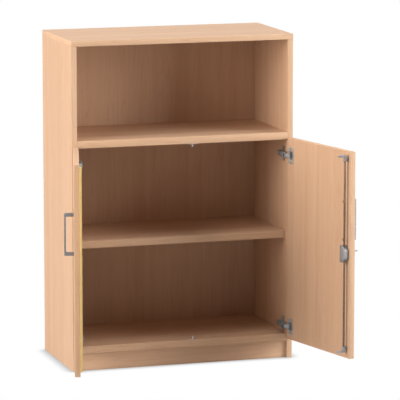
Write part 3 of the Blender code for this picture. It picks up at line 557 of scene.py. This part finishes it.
def screw_model(name, radius, height):
    """A flat round head standing on z = 0, with a rounded rim and a cross slot."""
    head = round_piece(name, radius, (0, 0, 0), (0, 0, height), 28)
    soften(head, height * RIM_SHARE, 2)
    reach = radius * SLOT_SHARE
    for half_x, half_y in ((reach, SLOT_HALF_W), (SLOT_HALF_W, reach)):
        slot = box_piece("slot", (-half_x, -half_y, height * SLOT_FLOOR_SHARE), (half_x, half_y, height * 2))
        combine(head, slot, "DIFFERENCE")
    take(head)
    bpy.ops.object.shade_smooth_by_angle(angle=SMOOTH_ANGLE)
    return head


def stand_on(point, direction):
    """The matrix that stands a model on a point, pointing along a direction."""
    return Matrix.Translation(point) @ Vector(direction).to_track_quat("Z", "Y").to_matrix().to_4x4()


first_screw = screw_model("screw_head", SCREW_R, SCREW_H)
SCREW_HEAD = first_screw.data
SCREW_HEAD.use_fake_user = True
bpy.data.objects.remove(first_screw, do_unlink=True)


def put_screws(name, body, spots, direction, place=None):
    """Copies of the screw head at these spots, pointing one way, as one piece of separate heads."""
    copies = []
    for spot in spots:
        mesh = SCREW_HEAD.copy()
        mesh.transform(stand_on(spot, direction))
        obj = bpy.data.objects.new(name, mesh)
        scene.collection.objects.link(obj)
        copies.append(obj)
    take(copies[0])
    for obj in copies:
        obj.select_set(True)
    if len(copies) > 1:
        bpy.ops.object.join()
    heads = bpy.context.object
    heads.name = name
    settle(heads, place)
    return finish_piece(heads, ZINC_PLATE, body, "screw_steel")


for hand, hand_name in HAND_NAMES.items():
    wing_x = hand * (INNER_X - SEAT - PLATE_T + SCREW_SUNK)
    spots = []
    for z in LEVEL_Z.values():
        for way in (1, -1):
            spots.append((wing_x, FRONT_Y + PLATE_FROM_FRONT, z + way * PLATE_SCREW_Z))
            spots.append((hand * arm_face_x, FRONT_Y + PLATE_FROM_FRONT + way * ARM_SCREW_OFFSET, z))
    put_screws(hand_name + "_hinge_screws", "carcass", spots, (-hand, 0, 0))


# Hinge links and pins. The link swings on a pin through the arm's cheeks, and the cup on a second pin
# through the link's other end. They stay as the solids they are, in the hinge's own plated steel.
for hand_name in HAND_NAMES.values():
    for level in LEVEL_Z:
        for piece in ("hinge_link", "hinge_arm_pin", "hinge_cup_pin"):
            dress_solid("%s_%s_%s" % (hand_name, level, piece), HINGE_STEEL)


# Doors. Faced boards with bands on all four edges, hung on two hinges each, and standing open. Each
# is modelled shut and then swung out on its hinge links, as the two hinge pins let it.
DOOR_T = 0.019
DOOR_GAP = 0.003
DOOR_REVEAL = 0.001
DOOR_W = 0.3975
DOOR_LOW = 0.0705
DOOR_HIGH = 0.7865
CUP_PIVOT_S = -0.0045
CUP_PIVOT_T = 0.0033
LINK_SHARE = -0.54
DOOR_OPEN = {1: math.radians(103.4), -1: math.radians(104.8)}
CUP_R = 0.0175
CUP_DEPTH = 0.0115
CUP_CENTRE_S = 0.0045
CUP_PLAY = 0.0002
HANDLE_FROM_EDGE = 0.0475
HANDLE_U = DOOR_W - HANDLE_FROM_EDGE
HANDLE_Z = 0.546
HANDLE_CENTRES = 0.132
HANDLE_BORE_R = 0.0022
LOCK_FROM_EDGE = 0.0255
LOCK_U = DOOR_W - LOCK_FROM_EDGE
LOCK_Z = 0.440
LOCK_BORE_R = 0.0082


def swing(hand):
    """The matrix that takes a shut door to where it stands open."""
    arm_pin = Vector((hand * (INNER_X - ARM_PIVOT_S), FRONT_Y - ARM_PIVOT_T, 0))
    cup_pin = Vector((hand * (INNER_X - CUP_PIVOT_S), FRONT_Y - CUP_PIVOT_T, 0))
    link_turn = Matrix.Rotation(hand * LINK_SHARE * DOOR_OPEN[hand], 4, "Z")
    door_turn = Matrix.Rotation(hand * (1 - LINK_SHARE) * DOOR_OPEN[hand], 4, "Z")
    return (Matrix.Translation(arm_pin) @ link_turn @ Matrix.Translation(cup_pin - arm_pin)
            @ door_turn @ Matrix.Translation(-cup_pin))


OPEN = {1: swing(1), -1: swing(-1)}


def door_point(hand, u, v, z):
    """A point of a shut door: u from its hinge edge, v outwards from its inner face."""
    return Vector((hand * (WIDTH / 2 - DOOR_REVEAL - u), FRONT_Y - DOOR_GAP - v, z))


for hand, hand_name in HAND_NAMES.items():
    name = hand_name + "_door_panel"
    corner_a = door_point(hand, 0, 0, DOOR_LOW)
    corner_b = door_point(hand, DOOR_W, DOOR_T, DOOR_HIGH)
    low = [min(a, b) for a, b in zip(corner_a, corner_b)]
    high = [max(a, b) for a, b in zip(corner_a, corner_b)]
    door = beech_board(name, hand_name + "_door", low, high, ("-x", "+x", "-z", "+z"), UPRIGHT,
                       (15.0 + 3.3 * hand, 7.9, 4.6 + hand), OPEN[hand])
    for z in LEVEL_Z.values():
        mouth = Vector((hand * (INNER_X - CUP_CENTRE_S), FRONT_Y - DOOR_GAP, z))
        bore = round_piece("cup_bore", CUP_R + CUP_PLAY, mouth + Vector((0, CUT_PAST, 0)),
                           mouth - Vector((0, CUP_DEPTH + SEAT, 0)), 48)
        settle(bore, OPEN[hand])
        combine(door, bore, "DIFFERENCE")
    holes = [(HANDLE_U, HANDLE_Z + way * HANDLE_CENTRES / 2, HANDLE_BORE_R) for way in (1, -1)]
    if hand == 1:
        holes.append((LOCK_U, LOCK_Z, LOCK_BORE_R))
    for u, z, radius in holes:
        bore = round_piece("door_bore", radius, door_point(hand, u, -CUT_PAST, z),
                           door_point(hand, u, DOOR_T + CUT_PAST, z), 32)
        settle(bore, OPEN[hand])
        combine(door, bore, "DIFFERENCE")


# Hinge cups. Pressed steel cups, nickel-plated and brighter than the arms, let into the doors' inner
# faces, each with two ears, and a screw through each ear into the door.
CUP_WALL = 0.0012
CUP_CUT_PAST = 0.005
CUP_ROUND = 0.00025
EAR_W = 0.029
EAR_H = 0.059
EAR_T = 0.0012
EAR_SUNK = 0.0002
EAR_ROUND = 0.0004
EAR_SCREW_Z = 0.024
EAR_SCREW_SUNK = 0.0004
COLLAR_W = 0.0008
COLLAR_PROUD = 0.0007
COLLAR_SUNK = 0.0001
NICKEL_PLATE = metal_material("nickel_plate", (0.50, 0.51, 0.53), (0.41, 0.42, 0.44), 0.42, 0.35)
outwards = Vector((0, -1, 0))
inwards = Vector((0, 1, 0))
cup_mouth = hinge_point(CUP_CENTRE_S, DOOR_GAP - SEAT)
cup = round_piece("cup_model", CUP_R, cup_mouth, cup_mouth + outwards * CUP_DEPTH, 48)
ears = box_piece("cup_ears", cup_mouth + Vector((-EAR_W / 2, EAR_T, -EAR_H / 2)),
                 cup_mouth + Vector((EAR_W / 2, -EAR_SUNK, EAR_H / 2)))
round_edges(ears, lambda co: True, EAR_ROUND, 2)
combine(cup, ears)
collar = round_piece("cup_collar", CUP_R + COLLAR_W, cup_mouth + inwards * COLLAR_PROUD,
                     cup_mouth + outwards * COLLAR_SUNK, 48)
combine(cup, collar)
hollow = round_piece("cup_hollow", CUP_R - CUP_WALL, cup_mouth + inwards * CUP_CUT_PAST,
                     cup_mouth + outwards * (CUP_DEPTH - CUP_WALL), 48)
combine(cup, hollow, "DIFFERENCE")
soften(cup, CUP_ROUND, 2, angle=40.0)
copies_for_hinges(cup, NICKEL_PLATE, "{}_door", "cup", OPEN)
for hand, hand_name in HAND_NAMES.items():
    spots = []
    for z in LEVEL_Z.values():
        for way in (1, -1):
            spots.append((hand * cup_mouth.x, cup_mouth.y + EAR_T - EAR_SCREW_SUNK, z + way * EAR_SCREW_Z))
    put_screws(hand_name + "_cup_screws", hand_name + "_door", spots, inwards, OPEN[hand])


# Handles. Bow handles in silver-grey lacquered metal, cast in one piece, upright near each door's free
# edge and held by two yellow-plated screws from inside.
HANDLE_W = 0.012
HANDLE_LEG = 0.012
HANDLE_REACH = 0.033
GRIP_T = 0.0065
HANDLE_CORNER_R = 0.0038
HANDLE_ROUND = 0.0020
HANDLE_SCREW_R = 0.004
HANDLE_SCREW_H = 0.002
SHANK_R = 0.002
SHANK_IN_LEG = 0.008
SHANK_IN_HEAD = 0.0004
FACING = 0.9
SCREW_YELLOW = metal_material("yellow_zinc_plate", (0.55, 0.39, 0.25), (0.46, 0.32, 0.20), 0.45, 0.40)
HANDLE_LACQUER = metal_material("handle_lacquer", (0.235, 0.245, 0.26), (0.18, 0.19, 0.205), 0.45, 0.60)


def handle_model(hand):
    """A grip cut across near its ends, whose end parts are drawn out as legs to the door."""
    half = (HANDLE_CENTRES + HANDLE_LEG) / 2
    under = HANDLE_REACH - GRIP_T
    grip = box_piece("handle_model",
                     door_point(hand, HANDLE_U - HANDLE_W / 2, DOOR_T + under, HANDLE_Z - half),
                     door_point(hand, HANDLE_U + HANDLE_W / 2, DOOR_T + HANDLE_REACH, HANDLE_Z + half))
    take(grip)
    bpy.ops.object.mode_set(mode="EDIT")
    for way in (1, -1):
        bpy.ops.mesh.select_all(action="SELECT")
        bpy.ops.mesh.bisect(plane_co=(0, 0, HANDLE_Z + way * (half - HANDLE_LEG)), plane_no=UPRIGHT)
    bpy.ops.mesh.select_mode(type="FACE")
    bpy.ops.mesh.select_all(action="DESELECT")
    bpy.ops.object.mode_set(mode="OBJECT")
    for face in grip.data.polygons:
        end_part = abs(face.center.z - HANDLE_Z) > half - HANDLE_LEG
        face.select = end_part and face.normal.y > FACING
    bpy.ops.object.mode_set(mode="EDIT")
    bpy.ops.mesh.extrude_region_move(TRANSFORM_OT_translate={"value": (0, under - SEAT, 0)})
    bpy.ops.object.mode_set(mode="OBJECT")
    end_z = half - HAIRLINE
    outer_y = door_point(hand, HANDLE_U, DOOR_T + HANDLE_REACH, 0).y
    round_edges(grip, lambda co: co.y < outer_y + SAME_PLACE and abs(co.z - HANDLE_Z) > end_z,
                HANDLE_CORNER_R, 5)
    soften(grip, HANDLE_ROUND, 4, angle=60.0)
    return grip


for hand, hand_name in HAND_NAMES.items():
    handle = handle_model(hand)
    handle.name = hand_name + "_handle"
    settle(handle, OPEN[hand])
    finish_piece(handle, HANDLE_LACQUER, hand_name + "_door", "handle_metal", hand_name + "_handle")
    for level, way in (("upper", 1), ("lower", -1)):
        name = "%s_handle_%s_screw" % (hand_name, level)
        seat = door_point(hand, HANDLE_U, -SEAT, HANDLE_Z + way * HANDLE_CENTRES / 2)
        head = screw_model(name, HANDLE_SCREW_R, HANDLE_SCREW_H)
        shank = round_piece("shank", SHANK_R, (0, 0, -DOOR_T - SHANK_IN_LEG), (0, 0, SHANK_IN_HEAD), 20)
        combine(head, shank)
        settle(head, OPEN[hand] @ stand_on(seat, inwards))
        finish_piece(head, SCREW_YELLOW, hand_name + "_door", "screw_steel", name)


# Stop strip. A yellowish plastic strip glued along the inner face of the left door's free edge; it
# stands past the edge, and the right door closes against it.
STRIP_T = 0.0075
STRIP_W = 0.020
STRIP_PAST_EDGE = 0.008
STRIP_END_GAP = 0.0015
STRIP_ROUND = 0.0012
STRIP_PALE = (0.70, 0.525, 0.235, 1.0)
STRIP_DEEP = (0.61, 0.44, 0.18, 1.0)
MOTTLE_RATE = (240.0, 240.0, 30.0)
strip_edge_u = DOOR_W + STRIP_PAST_EDGE
strip = box_piece("left_door_stop_strip",
                  door_point(-1, strip_edge_u - STRIP_W, -SEAT, BOTTOM_TOP + STRIP_END_GAP),
                  door_point(-1, strip_edge_u, -SEAT - STRIP_T, MIDDLE_SHELF_LOW - STRIP_END_GAP))
soften(strip, STRIP_ROUND, 3)
settle(strip, OPEN[-1])
strip_plastic, strip_tree, strip_shader = new_material("strip_plastic_yellow")
strip_place = strip_tree.nodes.new("ShaderNodeTexCoord").outputs["Object"]
mottle = stretched_noise(strip_tree, strip_place, MOTTLE_RATE, 3.0)
strip_colour = colour_mix(strip_tree, between(strip_tree, mottle, 0.3, 0.7), STRIP_PALE, STRIP_DEEP)
strip_roughness = between(strip_tree, mottle, 0.3, 0.7, 0.38, 0.5)
strip_bump = strip_tree.nodes.new("ShaderNodeBump")
strip_bump.inputs["Strength"].default_value = 0.1
strip_bump.inputs["Distance"].default_value = 0.0002
node_link(strip_tree, mottle, strip_bump.inputs["Height"])
node_link(strip_tree, strip_colour, strip_shader.inputs["Base Color"])
node_link(strip_tree, strip_roughness, strip_shader.inputs["Roughness"])
node_link(strip_tree, strip_bump.outputs["Normal"], strip_shader.inputs["Normal"])
finish_piece(strip, strip_plastic, "left_door", "strip_plastic", "left_door_stop_strip")


# Lock case. A zinc casting screwed to the right door's inner face: a block whose two corners next to
# the door's free edge are cut off at a slant, bored through for the turning rods.
ROD_FROM_EDGE = 0.0185
ROD_U = DOOR_W - ROD_FROM_EDGE
ROD_DEPTH = 0.012
ROD_R = 0.0035
CASE_W = 0.0265
CASE_H = 0.060
CASE_DEPTH = 0.0205
CASE_EDGE_ROOM = 0.008
CASE_BELOW_KEY = 0.006
CASE_CUT_W = 0.012
CASE_CUT_H = 0.016
CASE_ROUND = 0.0015
CASE_SCREW_U = 0.0065
CASE_SCREW_Z = 0.0075
CASE_FAR_U = DOOR_W - CASE_EDGE_ROOM
CASE_NEAR_U = CASE_FAR_U - CASE_W
CASE_Z = {way: LOCK_Z - CASE_BELOW_KEY + way * CASE_H / 2 for way in (1, -1)}
ZINC_CASTING = metal_material("zinc_casting", (0.30, 0.31, 0.34), (0.24, 0.25, 0.275), 0.50, 0.40)


def cut_off(obj, point, normal):
    """Slices a piece along a plane, takes away what lies on the normal's side, and closes the cut."""
    take(obj)
    bpy.ops.object.mode_set(mode="EDIT")
    bpy.ops.mesh.select_all(action="SELECT")
    bpy.ops.mesh.bisect(plane_co=point, plane_no=normal, use_fill=True, clear_outer=True)
    bpy.ops.object.mode_set(mode="OBJECT")


def up(height):
    """A step straight up, or down if negative."""
    return Vector((0, 0, height))


def round_about(name, radius, centre, half, sides=32):
    """A cylinder that reaches from its centre as far as half says, to both sides."""
    return round_piece(name, radius, centre - half, centre + half, sides)


def fit_on_door(obj, material, slot, node, body="right_door"):
    """Swings a piece of the lock open with the right door, and finishes it."""
    settle(obj, OPEN[1])
    return finish_piece(obj, material, body, slot, node)


case = box_piece("lock_case", door_point(1, CASE_NEAR_U, -SEAT, CASE_Z[-1]),
                 door_point(1, CASE_FAR_U, -CASE_DEPTH, CASE_Z[1]))
for way, end_z in CASE_Z.items():
    cut_off(case, door_point(1, CASE_FAR_U - CASE_CUT_W, 0, end_z), (-CASE_CUT_H, 0, way * CASE_CUT_W))
soften(case, CASE_ROUND, 3, angle=25.0)
rod_axis = door_point(1, ROD_U, -ROD_DEPTH, LOCK_Z)
combine(case, round_about("case_bore", ROD_R + SEAT, rod_axis, up(CASE_H)), "DIFFERENCE")
fit_on_door(case, ZINC_CASTING, "lock_zinc", "lock_case")
spots = [door_point(1, CASE_NEAR_U + CASE_SCREW_U, HAIRLINE - CASE_DEPTH, CASE_Z[way] - way * CASE_SCREW_Z)
         for way in CASE_Z]
put_screws("lock_case_screws", "right_door", spots, inwards, OPEN[1])


# Lock cylinder, rosette and plug. A turned barrel through the door, a flat nickel-plated ring round it
# on the outer face, and the plug that turns in the barrel, slotted for the key.
BARREL_R = 0.008
BARREL_IN_CASE = 0.004
BARREL_PROUD = 0.0035
BARREL_ROUND = 0.0004
PLUG_R = 0.0053
PLUG_IN_CASE = 0.0037
PLUG_PROUD = 0.0038
PLUG_ROUND = 0.0003
ROSETTE_R = 0.013
ROSETTE_T = 0.0022
ROSETTE_ROUND = 0.0007
KEYWAY_HALF_W = 0.0043
KEYWAY_HALF_H = 0.0013
KEYWAY_IN = 0.0138
KEYWAY_PAST = 0.0060
BARREL_CUT = 0.05
ROSETTE_CUT = 0.02
lock_face = door_point(1, LOCK_U, DOOR_T, LOCK_Z)
barrel = round_piece("lock_cylinder", BARREL_R, lock_face + inwards * (DOOR_T + BARREL_IN_CASE),
                     lock_face + outwards * BARREL_PROUD, 40)
plug_bore = round_about("plug_bore", PLUG_R + SEAT, lock_face, outwards * BARREL_CUT, 40)
combine(barrel, plug_bore, "DIFFERENCE")
soften(barrel, BARREL_ROUND, 2)
fit_on_door(barrel, ZINC_CASTING, "lock_zinc", "lock_cylinder")
rosette = round_piece("lock_rosette", ROSETTE_R, lock_face + outwards * SEAT,
                      lock_face + outwards * ROSETTE_T, 56)
ring_bore = round_about("ring_bore", BARREL_R + SEAT, lock_face, outwards * ROSETTE_CUT, 56)
combine(rosette, ring_bore, "DIFFERENCE")
soften(rosette, ROSETTE_ROUND, 3)
fit_on_door(rosette, NICKEL_PLATE, "lock_zinc", "lock_rosette")
plug = round_piece("lock_plug", PLUG_R, lock_face + inwards * (DOOR_T + PLUG_IN_CASE),
                   lock_face + outwards * PLUG_PROUD, 40)
keyway = box_piece("keyway", lock_face + Vector((-KEYWAY_HALF_W, -KEYWAY_PAST, -KEYWAY_HALF_H)),
                   lock_face + Vector((KEYWAY_HALF_W, KEYWAY_IN, KEYWAY_HALF_H)))
combine(plug, keyway, "DIFFERENCE")
soften(plug, PLUG_ROUND, 2)
fit_on_door(plug, ZINC_CASTING, "lock_zinc", "lock_plug", "lock_plug")


# Key. A flat nickel-plated steel key with a round bow, a hole in the bow and three notches along one
# edge of the blade; it is left in the lock and turns with the plug.
BOW_R = 0.010
BOW_FROM_FACE = 0.0188
KEY_T = 0.002
KEY_CUT = 0.01
KEY_ROUND = 0.00025
BLADE_HALF_W = 0.004
BLADE_HALF_T = 0.00095
BLADE_REACH = 0.013
BOW_HOLE_R = 0.0022
BOW_HOLE_OFFSET = 0.005
NOTCH_FIRST = 0.0105
NOTCH_STEP = 0.004
NOTCH_HALF_W = 0.0008
NOTCH_DEPTHS = (0.0011, 0.0015, 0.0011)
bow_centre = lock_face + outwards * BOW_FROM_FACE
key = round_about("key", BOW_R, bow_centre, up(KEY_T / 2), 56)
blade = box_piece("key_blade", lock_face + Vector((-BLADE_HALF_W, BLADE_REACH, -BLADE_HALF_T)),
                  lock_face + Vector((BLADE_HALF_W, -BLADE_REACH, BLADE_HALF_T)))
combine(key, blade)
hole_centre = bow_centre + outwards * BOW_HOLE_OFFSET
combine(key, round_about("key_hole", BOW_HOLE_R, hole_centre, up(KEY_CUT), 28), "DIFFERENCE")
for i, depth in enumerate(NOTCH_DEPTHS):
    notch_at = lock_face + Vector((BLADE_HALF_W, NOTCH_FIRST - NOTCH_STEP * i, 0))
    notch = box_piece("key_notch", notch_at + Vector((-depth, -NOTCH_HALF_W, -KEY_CUT)),
                      notch_at + Vector((CUT_PAST, NOTCH_HALF_W, KEY_CUT)))
    combine(key, notch, "DIFFERENCE")
soften(key, KEY_ROUND, 2, angle=40.0)
fit_on_door(key, NICKEL_PLATE, "screw_steel", "key", "lock_plug")


# Turning rods. Two round steel rods, up and down from the case; the driver that turns them sits
# inside the case and stays as the solid it is.
# The rods' steel is painted dark brown: painted shade, and a painted reflection of the beech round them.
ROD_STEEL_SHADE_PAINTED = metal_material("rod_steel_with_painted_shade", (0.19, 0.125, 0.10), (0.13, 0.085, 0.07), 0.40, 0.80)
ROD_ROUND = 0.0005
HOOK_CLEARANCE = 0.005
HOOK_TOP = MIDDLE_SHELF_LOW - HOOK_CLEARANCE
HOOK_LOW = BOTTOM_TOP + HOOK_CLEARANCE
HOOK_T = 0.003
rod_foot = door_point(1, ROD_U, -ROD_DEPTH, 0)
for name, low, high in (("upper_rod", LOCK_Z + SEAT, HOOK_TOP - HOOK_T - SEAT),
                        ("lower_rod", HOOK_LOW + HOOK_T + SEAT, LOCK_Z - SEAT)):
    rod = round_piece(name, ROD_R, rod_foot + up(low), rod_foot + up(high))
    soften(rod, ROD_ROUND, 2)
    fit_on_door(rod, ROD_STEEL_SHADE_PAINTED, "rod_steel", name, "lock_rods")
dress_solid("rod_driver", ZINC_CASTING)


# Hooks. Zinc castings pressed on the rods' ends: a sleeve, a level arm that turns behind the striker's
# pin, and a web that stiffens the arm.
SLEEVE_R = 0.0055
SLEEVE_H = 0.012
SLEEVE_CUT = 0.05
HOOK_REACH = 0.0285
HOOK_HALF_W = 0.0025
HOOK_ROUND = 0.0004
WEB_HALF_T = 0.001
WEB_H = 0.004
WEB_START = 0.003
WEB_END = 0.026
for name, end_z, way in (("upper_hook", HOOK_TOP, 1), ("lower_hook", HOOK_LOW, -1)):
    tip = rod_foot + up(end_z)
    hook = round_piece(name, SLEEVE_R, tip, tip - up(way * SLEEVE_H), 36)
    arm = box_piece("hook_arm", tip + Vector((-HOOK_HALF_W, 0, 0)),
                    tip + Vector((HOOK_HALF_W, HOOK_REACH, -way * HOOK_T)))
    arm_end = round_piece("hook_end", HOOK_HALF_W, tip + Vector((0, HOOK_REACH, -way * FACE_STEP)),
                          tip + Vector((0, HOOK_REACH, -way * (HOOK_T - FACE_STEP))), 24)
    combine(arm, arm_end)
    combine(hook, arm)
    web_low = -way * (HOOK_T + WEB_H)
    web = box_piece("hook_web", tip + Vector((-WEB_HALF_T, WEB_START, -way * HOOK_T / 2)),
                    tip + Vector((WEB_HALF_T, WEB_END, web_low)))
    cut_off(web, tip + Vector((0, WEB_START, web_low)), (0, WEB_H, -way * (WEB_END - WEB_START)))
    combine(hook, web)
    sleeve_bore = round_piece("hook_bore", ROD_R + SEAT, tip - up(way * HOOK_T), tip - up(way * SLEEVE_CUT))
    combine(hook, sleeve_bore, "DIFFERENCE")
    soften(hook, HOOK_ROUND, 2, angle=40.0)
    fit_on_door(hook, ZINC_CASTING, "lock_zinc", name, "lock_rods")


# Rod guides. Small castings next to each hook, on a foot with one screw into the door; the rod turns
# in their barrels.
GUIDE_R = 0.0065
GUIDE_H = 0.008
GUIDE_FROM_HOOK = 0.0166
GUIDE_CUT = 0.02
GUIDE_ROUND = 0.0005
FOOT_REACH = 0.0155
FOOT_FACE = 0.0025
FOOT_HALF_H = 0.0037
NECK_ROOT = 0.001
NECK_END = 0.0085
NECK_HALF_W = 0.0035
NECK_HALF_H = 0.0036
GUIDE_SCREW_FROM_ROD = 0.0115
for name, z in (("upper_rod_guide", HOOK_TOP - GUIDE_FROM_HOOK),
                ("lower_rod_guide", HOOK_LOW + GUIDE_FROM_HOOK)):
    centre = rod_foot + up(z)
    guide = round_about(name, GUIDE_R, centre, up(GUIDE_H / 2), 36)
    foot = box_piece("guide_foot", door_point(1, ROD_U + GUIDE_R, -SEAT, z - FOOT_HALF_H),
                     door_point(1, ROD_U - FOOT_REACH, -FOOT_FACE, z + FOOT_HALF_H))
    neck = box_piece("guide_neck", door_point(1, ROD_U - NECK_HALF_W, -NECK_ROOT, z - NECK_HALF_H),
                     door_point(1, ROD_U + NECK_HALF_W, -NECK_END, z + NECK_HALF_H))
    combine(guide, foot)
    combine(guide, neck)
    combine(guide, round_about("guide_bore", ROD_R + SEAT, centre, up(GUIDE_CUT), 36), "DIFFERENCE")
    soften(guide, GUIDE_ROUND, 2, angle=40.0)
    fit_on_door(guide, ZINC_CASTING, "lock_zinc", name)
    screw_spot = door_point(1, ROD_U - GUIDE_SCREW_FROM_ROD, -FOOT_FACE, z)
    put_screws(name + "_screw", "right_door", [screw_spot], inwards, OPEN[1])


# Strikers. A nickel-plated steel plate with an upright pin, one under the middle shelf and one on the
# bottom board; the hooks turn behind the pins when the lock is shut. Two screws hold each plate.
STRIKER_ASIDE = 0.0133
STRIKER_BEFORE = 0.0055
STRIKER_HALF_W = 0.015
STRIKER_T = 0.0014
STRIKER_TO_FRONT = 0.0033
STRIKER_TO_BACK = 0.0052
STRIKER_PIN_R = 0.0025
STRIKER_PIN_ROOT = 0.0005
STRIKER_PIN_END = 0.0122
STRIKER_SCREW_X = 0.0095
STRIKER_SCREW_SEAT = 0.0012
STRIKER_ROUND = 0.0004
STRIKER_X = rod_foot.x + STRIKER_ASIDE
STRIKER_Y = rod_foot.y - STRIKER_BEFORE
STRIKER_FRONT_Y = STRIKER_Y - STRIKER_TO_FRONT
STRIKER_BACK_Y = STRIKER_Y + STRIKER_TO_BACK
for name, face_z, way in (("upper_striker", MIDDLE_SHELF_LOW, -1), ("lower_striker", BOTTOM_TOP, 1)):
    seat_z = face_z + way * SEAT
    striker = box_piece(name, (STRIKER_X - STRIKER_HALF_W, STRIKER_FRONT_Y, seat_z),
                        (STRIKER_X + STRIKER_HALF_W, STRIKER_BACK_Y, seat_z + way * STRIKER_T))
    pin = round_piece("striker_pin", STRIKER_PIN_R, (STRIKER_X, STRIKER_Y, seat_z + way * STRIKER_PIN_ROOT),
                      (STRIKER_X, STRIKER_Y, seat_z + way * STRIKER_PIN_END), 28)
    combine(striker, pin)
    soften(striker, STRIKER_ROUND, 2, angle=40.0)
    finish_piece(striker, NICKEL_PLATE, "carcass", "hinge_steel", name)
    screw_y = (STRIKER_FRONT_Y + STRIKER_BACK_Y) / 2
    spots = [(STRIKER_X + side * STRIKER_SCREW_X, screw_y, seat_z + way * STRIKER_SCREW_SEAT)
             for side in (1, -1)]
    put_screws(name + "_screws", "carcass", spots, (0, 0, way))


# Studio. A plain grey floor, painted white before the plinth; the camera sees it as white all over, with
# a narrow contact shadow. A white sky that gives no light, and large soft lamps: warm ones from the left,
# paler ones from the right, above and behind. The camera stands left of the middle.
FLOOR_SIZE = 120.0
FLOOR_CENTRE = (0, 20.0, -0.0005)
FLOOR_GREY = (0.38, 0.38, 0.38, 1.0)
FLOOR_WHITE = (0.90, 0.90, 0.90, 1.0)
WHITE_CENTRE_Y = -0.285
WHITE_HALF_W = 0.400
WHITE_HALF_D = 0.095
WHITE_FADE = 0.005
CONTACT_REACH = 0.045
SKY_WHITE = (1.0, 1.0, 1.0, 1.0)
KEY_COLOUR = (1.0, 0.885, 0.745)
FILL_COLOUR = (1.0, 0.93, 0.835)
LAMP_TARGET = Vector((0.0, -0.1, 0.55))
CAMERA_PLACE = (-3.1111, -10.277, 2.3209)
CAMERA_TURN = (math.radians(90 - 9.3493), 0.0, math.radians(-17.4589))
SENSOR_WIDTH = 36.0
LENS_LENGTH = 277.33
CLIP_END = 300.0


def seen_directly(tree):
    """One where the camera, a reflection or a look through glass meets the surface, else zero."""
    path = tree.nodes.new("ShaderNodeLightPath")
    seen = calculate(tree, "MAXIMUM", path.outputs["Is Camera Ray"], path.outputs["Is Glossy Ray"])
    return calculate(tree, "MAXIMUM", seen, path.outputs["Is Transmission Ray"])


def within(tree, distance, half):
    """One at distances below half, falling to zero over a narrow fade."""
    return between(tree, distance, half - WHITE_FADE, half + WHITE_FADE, 1.0, 0.0)


bpy.ops.object.select_all(action="DESELECT")
bpy.ops.mesh.primitive_plane_add(size=FLOOR_SIZE, location=FLOOR_CENTRE)
floor = bpy.context.object
floor.name = "studio_floor"
settle(floor)
floor_paint, floor_tree, floor_shader = new_material("studio_floor_paint")
floor_coordinates = floor_tree.nodes.new("ShaderNodeTexCoord")
floor_place = floor_tree.nodes.new("ShaderNodeSeparateXYZ")
node_link(floor_tree, floor_coordinates.outputs["Object"], floor_place.inputs["Vector"])
sideways = calculate(floor_tree, "ABSOLUTE", floor_place.outputs["X"])
from_centre = calculate(floor_tree, "SUBTRACT", floor_place.outputs["Y"], WHITE_CENTRE_Y)
lengthways = calculate(floor_tree, "ABSOLUTE", from_centre)
white_field = calculate(floor_tree, "MULTIPLY", within(floor_tree, sideways, WHITE_HALF_W),
                        within(floor_tree, lengthways, WHITE_HALF_D))
floor_colour = colour_mix(floor_tree, white_field, FLOOR_GREY, FLOOR_WHITE)
node_link(floor_tree, floor_colour, floor_shader.inputs["Base Color"])
floor_shader.inputs["Roughness"].default_value = 0.9
contact = floor_tree.nodes.new("ShaderNodeAmbientOcclusion")
contact.inputs["Distance"].default_value = CONTACT_REACH
contact.samples = 16
contact_shadow = between(floor_tree, contact.outputs["AO"], 0.45, 0.95, 0.50, 1.0)
floor_glow = floor_tree.nodes.new("ShaderNodeEmission")
node_link(floor_tree, contact_shadow, floor_glow.inputs["Strength"])
floor_mix = floor_tree.nodes.new("ShaderNodeMixShader")
node_link(floor_tree, seen_directly(floor_tree), floor_mix.inputs["Fac"])
node_link(floor_tree, floor_shader.outputs["BSDF"], floor_mix.inputs[1])
node_link(floor_tree, floor_glow.outputs["Emission"], floor_mix.inputs[2])
node_link(floor_tree, floor_mix.outputs["Shader"], floor_tree.nodes["Material Output"].inputs["Surface"])
floor.data.materials.append(floor_paint)

world = bpy.data.worlds.new("studio_sky")
scene.world = world
world.use_nodes = True
sky_tree = world.node_tree
sky = sky_tree.nodes["Background"]
sky.inputs["Color"].default_value = SKY_WHITE
node_link(sky_tree, seen_directly(sky_tree), sky.inputs["Strength"])


def soft_lamp(name, place, size, power, colour):
    """A square lamp that looks at the middle of the cabinet."""
    bpy.ops.object.select_all(action="DESELECT")
    bpy.ops.object.light_add(type="AREA", location=place)
    lamp = bpy.context.object
    lamp.name = name
    lamp.data.shape = "SQUARE"
    lamp.data.size = size
    lamp.data.energy = power
    lamp.data.color = colour
    lamp.rotation_euler = (LAMP_TARGET - Vector(place)).to_track_quat("-Z", "Y").to_euler()


soft_lamp("left_lamp", (-4.8, -1.2, 2.2), 2.8, 156.0, KEY_COLOUR)
soft_lamp("left_front_lamp", (-4.3, -1.9, 1.7), 3.4, 66.0, KEY_COLOUR)
soft_lamp("left_broad_lamp", (-5.0, -1.4, 2.2), 4.6, 130.0, KEY_COLOUR)
soft_lamp("right_lamp", (3.8, -2.6, 1.6), 2.4, 150.0, FILL_COLOUR)
soft_lamp("right_broad_lamp", (5.2, -1.6, 2.2), 4.6, 232.0, FILL_COLOUR)
soft_lamp("top_lamp", (-0.2, -0.6, 4.6), 2.6, 84.0, FILL_COLOUR)
soft_lamp("top_back_lamp", (-0.2, 1.4, 4.4), 2.6, 26.0, FILL_COLOUR)
soft_lamp("back_lamp", (0.6, 4.5, 0.6), 1.0, 70.0, FILL_COLOUR)

bpy.ops.object.camera_add(location=CAMERA_PLACE, rotation=CAMERA_TURN)
camera = bpy.context.object
camera.name = "photo_camera"
camera.data.sensor_width = SENSOR_WIDTH
camera.data.lens = LENS_LENGTH
camera.data.clip_end = CLIP_END
scene.camera = camera
